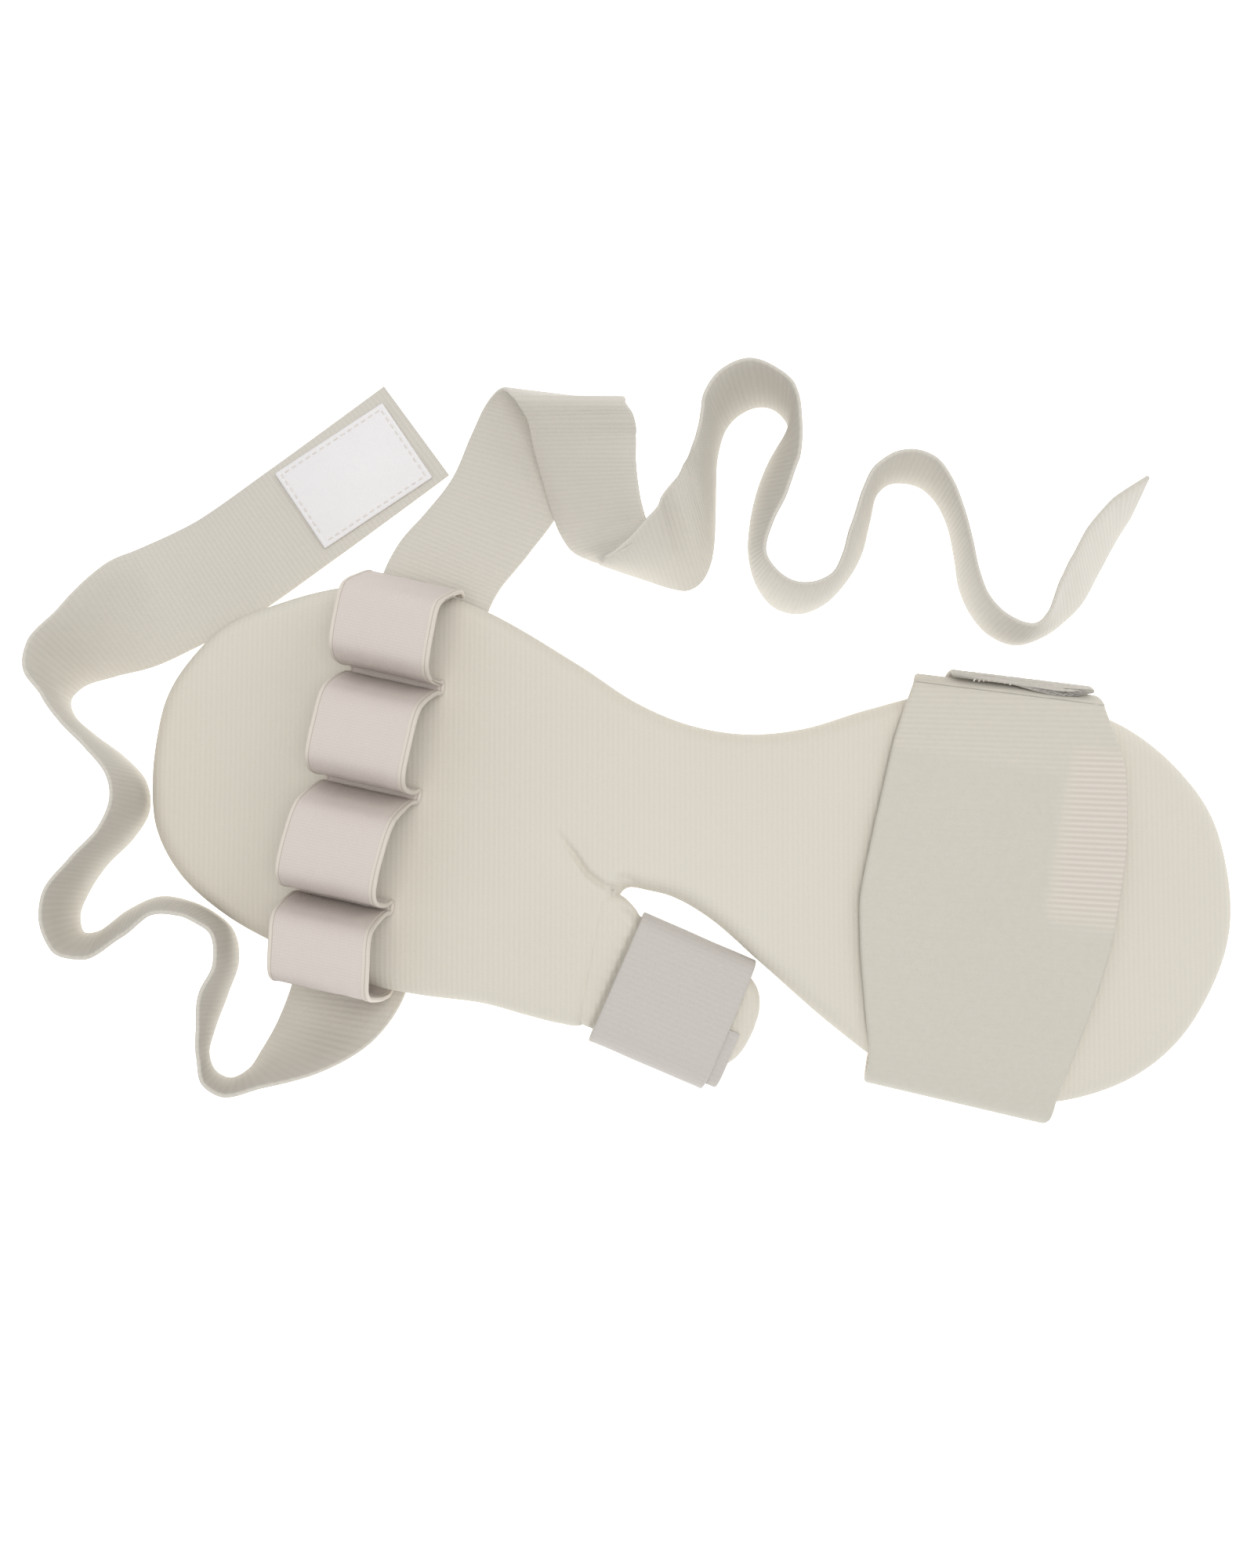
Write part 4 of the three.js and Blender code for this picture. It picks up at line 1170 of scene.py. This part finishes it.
def forearm_rows():
    """Rows of y, z, forearm edge and wrist edge, once round the board."""
    seat = CLEARANCE + FOREARM_STRAP_THICKNESS / 2
    out = BOARD_THICKNESS / 2 + seat
    rows = [
        (across * BOARD_WIDTH, forearm_middle + side * out + ease * FOREARM_STRAP_EASE, high, low)
        for across, side, ease, high, low in FOREARM_STRAP_ROWS
    ]
    upper = [row for row in rows if row[1] > forearm_middle]
    under = [row for row in rows if row[1] < forearm_middle]

    def bend(sign, start, end):
        reach = board_reach(sign) + seat + FOREARM_STRAP_EASE / 2
        made = []
        for turned in (-0.72, 0.0, 0.72):
            share = (turned + 1) / 2
            drop = (1 - math.sqrt(1 - turned**2)) * BOARD_THICKNESS / 2
            high, low = (end[k] * share + start[k] * (1 - share) for k in (2, 3))
            made.append((sign * (reach - drop), forearm_middle + sign * turned * out, high, low))
        return made

    return np.array(upper + bend(-1, upper[-1], under[0]) + under + bend(1, under[-1], upper[0]))


def make_forearm_strap():
    rows = forearm_rows()
    zeros = np.zeros(len(rows))
    centre_rows = np.column_stack([zeros, rows[:, :2]])
    edge_rows = np.column_stack([rows[:, 2:], zeros])
    shares, along = even_shares(centre_rows, BAND_RIB_PITCH / RINGS_PER_RIB, closed=True)
    centre = curve_at(centre_rows, shares, closed=True)
    high, low, _ = np.hsplit(curve_at(edge_rows, shares, closed=True), 3)
    half = FOREARM_STRAP_THICKNESS / 2
    centre[:, 2] = np.maximum(centre[:, 2], half)
    tangents = np.roll(centre, -1, axis=0) - np.roll(centre, 1, axis=0)
    normals = np.column_stack([np.zeros(len(centre)), -tangents[:, 2], tangents[:, 1]])
    normals /= np.linalg.norm(normals, axis=1)[:, None]
    rim = np.array(FOREARM_STRAP_RIM)
    places = np.concatenate([rim, np.linspace(rim[-1], 1 - rim[-1], 48)[1:-1], (1 - rim)[::-1]])
    x = (low + (high - low) * places) * FOREARM_STRAP_WIDTH
    y = centre[:, 1:2] * (1 + strap_flare * x)
    u = along[:, None] + BAND_RIB_SLANT * x
    from_edge = np.minimum(places, 1 - places) * (high - low) * FOREARM_STRAP_WIDTH
    facing_up = (centre[:, 2:3] > forearm_middle) * 1.0

    shown = smooth((x + strap_middle - RIBS_FROM[0]) / RIBS_FROM[1])
    shown *= smooth((RIBS_HIGH[0] - y) / RIBS_HIGH[1]) * smooth((y - RIBS_LOW[0]) / RIBS_LOW[1])
    faint = RIBS_FAR_SHARE * smooth((y - RIBS_FAR[0]) / RIBS_FAR[1])
    ribbed = np.clip(np.maximum(shown, faint) * facing_up + (1 - facing_up), RIBS_LEAST, 1)
    amount = ribs(u, BAND_RIB_PITCH, BAND_RIB_DEPTH) * ribbed * smooth(from_edge / RIB_FADE)
    amount += edge_wave(u, from_edge, FOREARM_EDGE_WAVE)
    swell = uneven(x + 40, y, FOREARM_WAVES) * smooth(from_edge / FOREARM_WAVES_FADE) * facing_up
    thick = rounded(from_edge, half, FOREARM_EDGE_LEAST) + amount
    line = np.stack([strap_middle + x, y, centre[:, 2:3] + swell], axis=-1)
    out = normals[:, None, :] * thick[..., None]
    top, bottom = line + out, line - out
    lift = np.minimum(np.minimum(top[..., 2], bottom[..., 2]).min(axis=1), 0)[:, None, None]
    lift = lift * (1 - facing_up)[..., None] * UP
    piece = both_faces("forearm_strap_knit", top - lift, bottom - lift, True, {"along": u, "ribbed": ribbed})

    length = path_length(np.vstack([centre, centre[:1]]))
    return piece


def make_strap_end():
    """The closed end, and the middle of its last edge."""
    seat = FOREARM_STRAP_THICKNESS + STRAP_END_GAP * CLEARANCE + STRAP_END_THICKNESS / 2
    reach = board_reach(1) + seat + FOREARM_STRAP_EASE / 2
    top = forearm_underside + BOARD_THICKNESS
    out, up = np.array(STRAP_END_ROWS).T
    rows = np.column_stack([np.full(len(out), strap_middle), reach + out * STRAP_END_THICKNESS, up * top])
    side = np.array([1.0, strap_lean, 0.0]) / math.hypot(1.0, strap_lean)
    centres, sides, along = straight_line(rows, STRAP_END_STEP, side)
    across = edge_spread(STRAP_END_WIDTH, STRAP_END_THICKNESS / 2, 90)
    piece = band(
        "forearm_strap_tape", centres, sides, along, across, STRAP_END_THICKNESS,
        lambda u, v: uneven(u * 3, v * 3, STRAP_END_WAVES),
    )
    pull_lip(piece, centres[-1])
    flat = (STRAP_END_WIDTH * MILLIMETRE, path_length(centres) * MILLIMETRE)
    return piece, centres[-1]


def pull_lip(piece, edge):
    """Draws the closed end's last edge in and out along its width."""
    for vertex in piece.data.vertices:
        x, y, z = (np.array(vertex.co) - FRAME_SHIFT) / MILLIMETRE
        from_edge = y - edge[1] - strap_lean * (x - edge[0])
        share = smooth(1 - from_edge / LIP_REACH) * smooth((z / edge[2] - LIP_FOOT) / LIP_FOOT_RUN)
        place = 2 * (x - edge[0]) / STRAP_END_WIDTH
        pulled = float(share * value_at(STRAP_END_LIP, place)) * MILLIMETRE
        vertex.co.y -= pulled
        vertex.co.z += max(pulled, 0) * LIP_RISE


def lip_stitches(edge):
    """Overlock stitches that show under one half of the closed end, in a zigzag that widens to one side."""
    rows = forearm_rows()
    rows = rows[rows[:, 1] > forearm_middle]
    rows = rows[np.argsort(rows[:, 0])]
    points = []
    for number, x in enumerate(np.arange(LIP_STITCH_START, LIP_STITCH_END, LIP_STITCH_STEP)):
        lip = edge[1] + strap_lean * x - float(value_at(STRAP_END_LIP, 2 * x / STRAP_END_WIDTH))
        y = lip + LIP_STITCH_OUT - (number % 2) * (1.0 + x / LIP_STITCH_START)
        surface = float(np.interp(y / (1 + strap_flare * x), rows[:, 0], rows[:, 1]))
        points.append([edge[0] + x, y, surface + FOREARM_STRAP_THICKNESS / 2])
    points = np.array(points)
    step = np.linalg.norm(np.diff(points, axis=0), axis=1).mean()
    return stitch_row("strap_end_stitching", points, 0.8 * step, 1.2 * step, LIP_STITCH_RADIUS)


# Materials


def linear(colour):
    """A colour as it is seen, from 0 to 255, as linear light."""
    return (*(((v / 255 + 0.055) / 1.055) ** 2.4 for v in colour), 1.0)


class Cloth:
    """Builds one node material for cloth, from a colour, ribs and grain."""

    def __init__(self, name, roughness, sheen):
        self.material = bpy.data.materials.new(name)
        self.material.use_nodes = True
        self.nodes = self.material.node_tree.nodes
        self.links = self.material.node_tree.links
        self.shader = self.nodes["Principled BSDF"]
        self.shader.inputs["Roughness"].default_value = roughness
        self.shader.inputs["Sheen Weight"].default_value = sheen
        self.shader.inputs["Sheen Roughness"].default_value = 0.5
        self.shader.inputs["Specular IOR Level"].default_value = 0.15

    def feed(self, sockets, values):
        """Gives each socket a number, a colour or another node's output."""
        for socket, value in zip(sockets, values):
            if isinstance(value, bpy.types.NodeSocket):
                self.links.new(value, socket)
            else:
                socket.default_value = value

    def attribute(self, name):
        node = self.nodes.new("ShaderNodeAttribute")
        node.attribute_name = name
        return node.outputs["Fac"]

    def math(self, operation, *values):
        node = self.nodes.new("ShaderNodeMath")
        node.operation = operation
        self.feed(node.inputs, values)
        return node.outputs[0]

    def wave(self, name, pitch):
        """From 0 in a valley to 1 on a rib, by an attribute's place."""
        turned = self.math("MULTIPLY", self.attribute(name), 2 * math.pi / pitch)
        return self.math("MULTIPLY_ADD", self.math("COSINE", turned), 0.5, 0.5)

    def noise(self, scale, detail):
        node = self.nodes.new("ShaderNodeTexNoise")
        coordinates = self.nodes.new("ShaderNodeTexCoord").outputs["Object"]
        self.feed([node.inputs[name] for name in ("Scale", "Detail", "Vector")], (scale, detail, coordinates))
        return node.outputs[0]

    def sum(self, *parts):
        """Sum of values, each with its weight."""
        total = None
        for value, weight in parts:
            scaled = self.math("MULTIPLY", value, weight)
            total = scaled if total is None else self.math("ADD", total, scaled)
        return total

    def mix(self, share, low, high):
        node = self.nodes.new("ShaderNodeMix")
        node.data_type = "RGBA"
        self.feed((node.inputs[0], node.inputs[6], node.inputs[7]), (share, low, high))
        return node.outputs[2]

    def blend(self, dark, light, *parts):
        """A colour between a dark and a light one, by a sum of weighted values."""
        return self.mix(self.math("MINIMUM", self.sum(*parts), 1.0), linear(dark), linear(light))

    def finish(self, colour, height, depth):
        """The material, with its colour and a bump that is depth mm high."""
        bump = self.nodes.new("ShaderNodeBump")
        self.feed([bump.inputs["Distance"], bump.inputs["Strength"]], (depth * MILLIMETRE, 1.0))
        self.feed([bump.inputs["Height"]], [height])
        inputs = self.shader.inputs
        self.feed((inputs["Base Color"], inputs["Normal"]), (colour, bump.outputs["Normal"]))
        return self.material


def board_material():
    cloth = Cloth("board_knit", roughness=0.92, sheen=0.12)
    rib = cloth.wave("along", BOARD_RIB_PITCH)
    course = cloth.wave("across", BOARD_COURSE_PITCH)
    grain = cloth.noise(2600, detail=2)
    patches = cloth.noise(14, detail=3)
    colour = cloth.blend(BOARD_DARK, BOARD_LIGHT, (rib, 0.17), (grain, 0.38), (patches, 0.42))
    return cloth.finish(colour, cloth.sum((rib, 0.5), (course, 0.2), (grain, 0.5)), depth=0.1)


def webbing_material():
    cloth = Cloth("strap_webbing", roughness=0.88, sheen=0.12)
    rib = cloth.wave("along", WEBBING_RIB_PITCH)
    warp = cloth.wave("across", WEBBING_WARP_PITCH)
    grain = cloth.noise(2400, detail=2)
    patches = cloth.noise(18, detail=3)
    weights = ((rib, 0.2), (warp, 0.1), (grain, 0.32), (patches, 0.38))
    colour = cloth.blend(WEBBING_DARK, WEBBING_LIGHT, *weights)
    return cloth.finish(colour, cloth.sum((rib, 0.5), (warp, 0.3), (grain, 0.3)), depth=0.14)


def loop_material():
    cloth = Cloth("loop_elastic", roughness=0.8, sheen=0.1)
    across = cloth.attribute("across")
    from_edge = cloth.math("SUBTRACT", LOOP_WIDTH / 2, cloth.math("ABSOLUTE", across))
    bead, both_beads = LOOP_EDGE_WIDTH * 1.15, LOOP_EDGE_WIDTH * 2.05
    first = cloth.math("LESS_THAN", from_edge, bead)
    second = cloth.math("LESS_THAN", from_edge, both_beads)
    right = cloth.math("GREATER_THAN", across, 0.0)
    edge = cloth.math("MAXIMUM", first, cloth.math("MULTIPLY", second, right))
    # Painted shade: a thin dark line along the dip just inside the rolled edge
    groove_place = cloth.math("ABSOLUTE", cloth.math("SUBTRACT", from_edge, bead))
    groove = cloth.math("LESS_THAN", groove_place, 0.16)
    line = cloth.wave("across", LOOP_LINE_PITCH / 2)
    cross = cloth.wave("along", LOOP_CROSS_PITCH)
    grain = cloth.noise(2500, detail=2)
    patches = cloth.noise(22, detail=3)
    body = cloth.blend(LOOP_DARK, LOOP_LIGHT, (line, 0.26), (cross, 0.18), (grain, 0.32), (patches, 0.24))
    edged = cloth.mix(edge, body, linear(LOOP_EDGE))
    colour = cloth.mix(cloth.math("MULTIPLY", groove, 0.55), edged, linear(LOOP_GROOVE_SHADE))
    return cloth.finish(colour, cloth.sum((line, 0.4), (cross, 0.3), (grain, 0.3)), depth=0.1)


def band_material():
    cloth = Cloth("forearm_strap_knit", roughness=0.95, sheen=0.15)
    ribbed = cloth.attribute("ribbed")
    rib = cloth.math("MULTIPLY", cloth.wave("along", BAND_RIB_PITCH), ribbed)
    fuzz = cloth.noise(1500, detail=4)
    speckle = cloth.noise(520, detail=3)
    patches = cloth.noise(16, detail=3)
    body = cloth.blend(BAND_DARK, BAND_LIGHT, (rib, 0.18), (fuzz, 0.3), (speckle, 0.35), (patches, 0.22))
    tinted = cloth.mix(cloth.math("MULTIPLY", ribbed, 0.6), body, linear(BAND_RIB_TINT))
    # Painted shade: where ribs show, the valleys between them are mixed toward a darker colour
    valley = cloth.math("MULTIPLY", cloth.math("SUBTRACT", ribbed, rib), 0.33)
    colour = cloth.mix(valley, tinted, linear(BAND_RIB_VALLEY_SHADE))
    return cloth.finish(colour, cloth.sum((rib, 0.5), (fuzz, 0.5), (speckle, 0.6)), depth=0.2)


def thumb_material():
    cloth = Cloth("thumb_strap_knit", roughness=0.95, sheen=0.15)
    rib = cloth.wave("along", BAND_RIB_PITCH)
    fuzz = cloth.noise(1700, detail=4)
    patches = cloth.noise(30, detail=3)
    colour = cloth.blend(THUMB_DARK, THUMB_LIGHT, (rib, 0.1), (fuzz, 0.74), (patches, 0.14))
    return cloth.finish(colour, cloth.sum((rib, 0.25), (fuzz, 0.8)), depth=0.16)


def tape_material():
    cloth = Cloth("strap_loop_tape", roughness=0.95, sheen=0.2)
    fuzz = cloth.noise(1300, detail=4)
    patches = cloth.noise(40, detail=2)
    colour = cloth.blend(THUMB_DARK, BAND_LIGHT, (fuzz, 0.6), (patches, 0.4))
    return cloth.finish(colour, fuzz, depth=0.3)


def hook_material():
    cloth = Cloth("hook_tape", roughness=0.6, sheen=0.0)
    cells = cloth.noise(1500, detail=3)
    patches = cloth.noise(40, detail=2)
    colour = cloth.blend(HOOK_DARK, HOOK_LIGHT, (cells, 0.35), (patches, 0.6))
    return cloth.finish(colour, cells, depth=0.08)


def thread_material():
    cloth = Cloth("patch_thread", roughness=0.55, sheen=0.1)
    grain = cloth.noise(3000, detail=2)
    colour = cloth.blend(THREAD_DARK, THREAD_LIGHT, (grain, 1.0))
    return cloth.finish(colour, grain, depth=0.05)


def dress(piece, material, slot_name, *nodes):
    piece.data.materials.clear()
    piece.data.materials.append(material)
    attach(piece, "root")
    if nodes:
        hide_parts(*nodes)


# Pieces

board_knit = board_material()
board = make_board()
dress(board, board_knit, "board_cover", "padded_board")
tab = make_tab()
dress(tab, board_knit, "board_cover")

webbing = webbing_material()
hook_end, hook_centres = make_strap(
    "finger_strap_hook_webbing", HOOK_END_ROUTE, -CLEARANCE, WEBBING_RIB_LAID,
)
dress(hook_end, webbing, "strap_webbing", "finger_strap_hook_end")
long_end, _ = make_strap("finger_strap_long_webbing", LONG_END_ROUTE, CLEARANCE, WEBBING_RIB_DEPTH)
dress(long_end, webbing, "strap_webbing", "finger_strap_long_end")

patch, patch_middle, patch_way, patch_side = make_patch(hook_centres)
dress(patch, hook_material(), "hook_tape", "hook_patch")
thread = thread_material()
dress(patch_stitches(patch_middle, patch_way, patch_side), thread, "hook_tape")

dress(make_loops(), loop_material(), "loop_elastic", "finger_loop_band")
dress(make_thumb_strap(), thumb_material(), "thumb_knit", "thumb_strap")
dress(make_forearm_strap(), band_material(), "strap_knit", "forearm_strap")
strap_end, lip_edge = make_strap_end()
dress(strap_end, tape_material(), "strap_loop_tape", "forearm_strap_end")
dress(lip_stitches(lip_edge), thread, "strap_loop_tape")


# Floor, light and camera


def make_floor():
    bpy.ops.mesh.primitive_plane_add(size=GROUND_SIZE, location=(0, 0, -GROUND_DROP))
    floor = bpy.context.object
    floor.name = "floor"
    material = bpy.data.materials.new("floor_white")
    material.use_nodes = True
    shader = material.node_tree.nodes["Principled BSDF"]
    shader.inputs["Base Color"].default_value = (GROUND_WHITE, GROUND_WHITE, GROUND_WHITE, 1)
    shader.inputs["Roughness"].default_value = 1.0
    shader.inputs["Specular IOR Level"].default_value = 0.0
    shader.inputs["Emission Color"].default_value = (1, 1, 1, 1)
    shader.inputs["Emission Strength"].default_value = GROUND_GLOW
    floor.data.materials.append(material)


def make_lights():
    for name, (place, size, power, colour) in LIGHTS.items():
        data = bpy.data.lights.new(name, "AREA")
        data.shape = "DISK"
        data.size = size
        data.energy = power
        data.color = colour
        light = bpy.data.objects.new(name, data)
        bpy.context.scene.collection.objects.link(light)
        light.location = place
        light.rotation_mode = "QUATERNION"
        light.rotation_quaternion = (-Vector(place)).to_track_quat("-Z", "Y")
    world = bpy.data.worlds.new("studio")
    world.use_nodes = True
    background = world.node_tree.nodes["Background"]
    background.inputs["Color"].default_value = (1, 1, 1, 1)
    background.inputs["Strength"].default_value = WORLD_LIGHT
    bpy.context.scene.world = world


def make_camera():
    turned, tilt = math.radians(CAMERA_TURN), math.radians(CAMERA_TILT)
    right = Vector((math.cos(turned), math.sin(turned), 0))
    ahead = Vector((-math.sin(turned), math.cos(turned), 0))
    up = ahead * math.cos(tilt) + Vector(UP) * math.sin(tilt)
    back = Vector(UP) * math.cos(tilt) - ahead * math.sin(tilt)
    place = np.array([*CAMERA_FOOT, CAMERA_HEIGHT]) * MILLIMETRE + FRAME_SHIFT
    data = bpy.data.cameras.new("camera")
    data.sensor_width = SENSOR
    data.lens = CAMERA_LENS
    data.dof.use_dof = False
    data.clip_start, data.clip_end = 0.01, 20
    camera = bpy.data.objects.new("camera", data)
    bpy.context.scene.collection.objects.link(camera)
    camera.matrix_world = Matrix.Translation(place) @ Matrix((right, up, back)).transposed().to_4x4()
    bpy.context.scene.camera = camera


make_floor()
make_lights()
make_camera()
bpy.context.scene.view_settings.view_transform = "Standard"
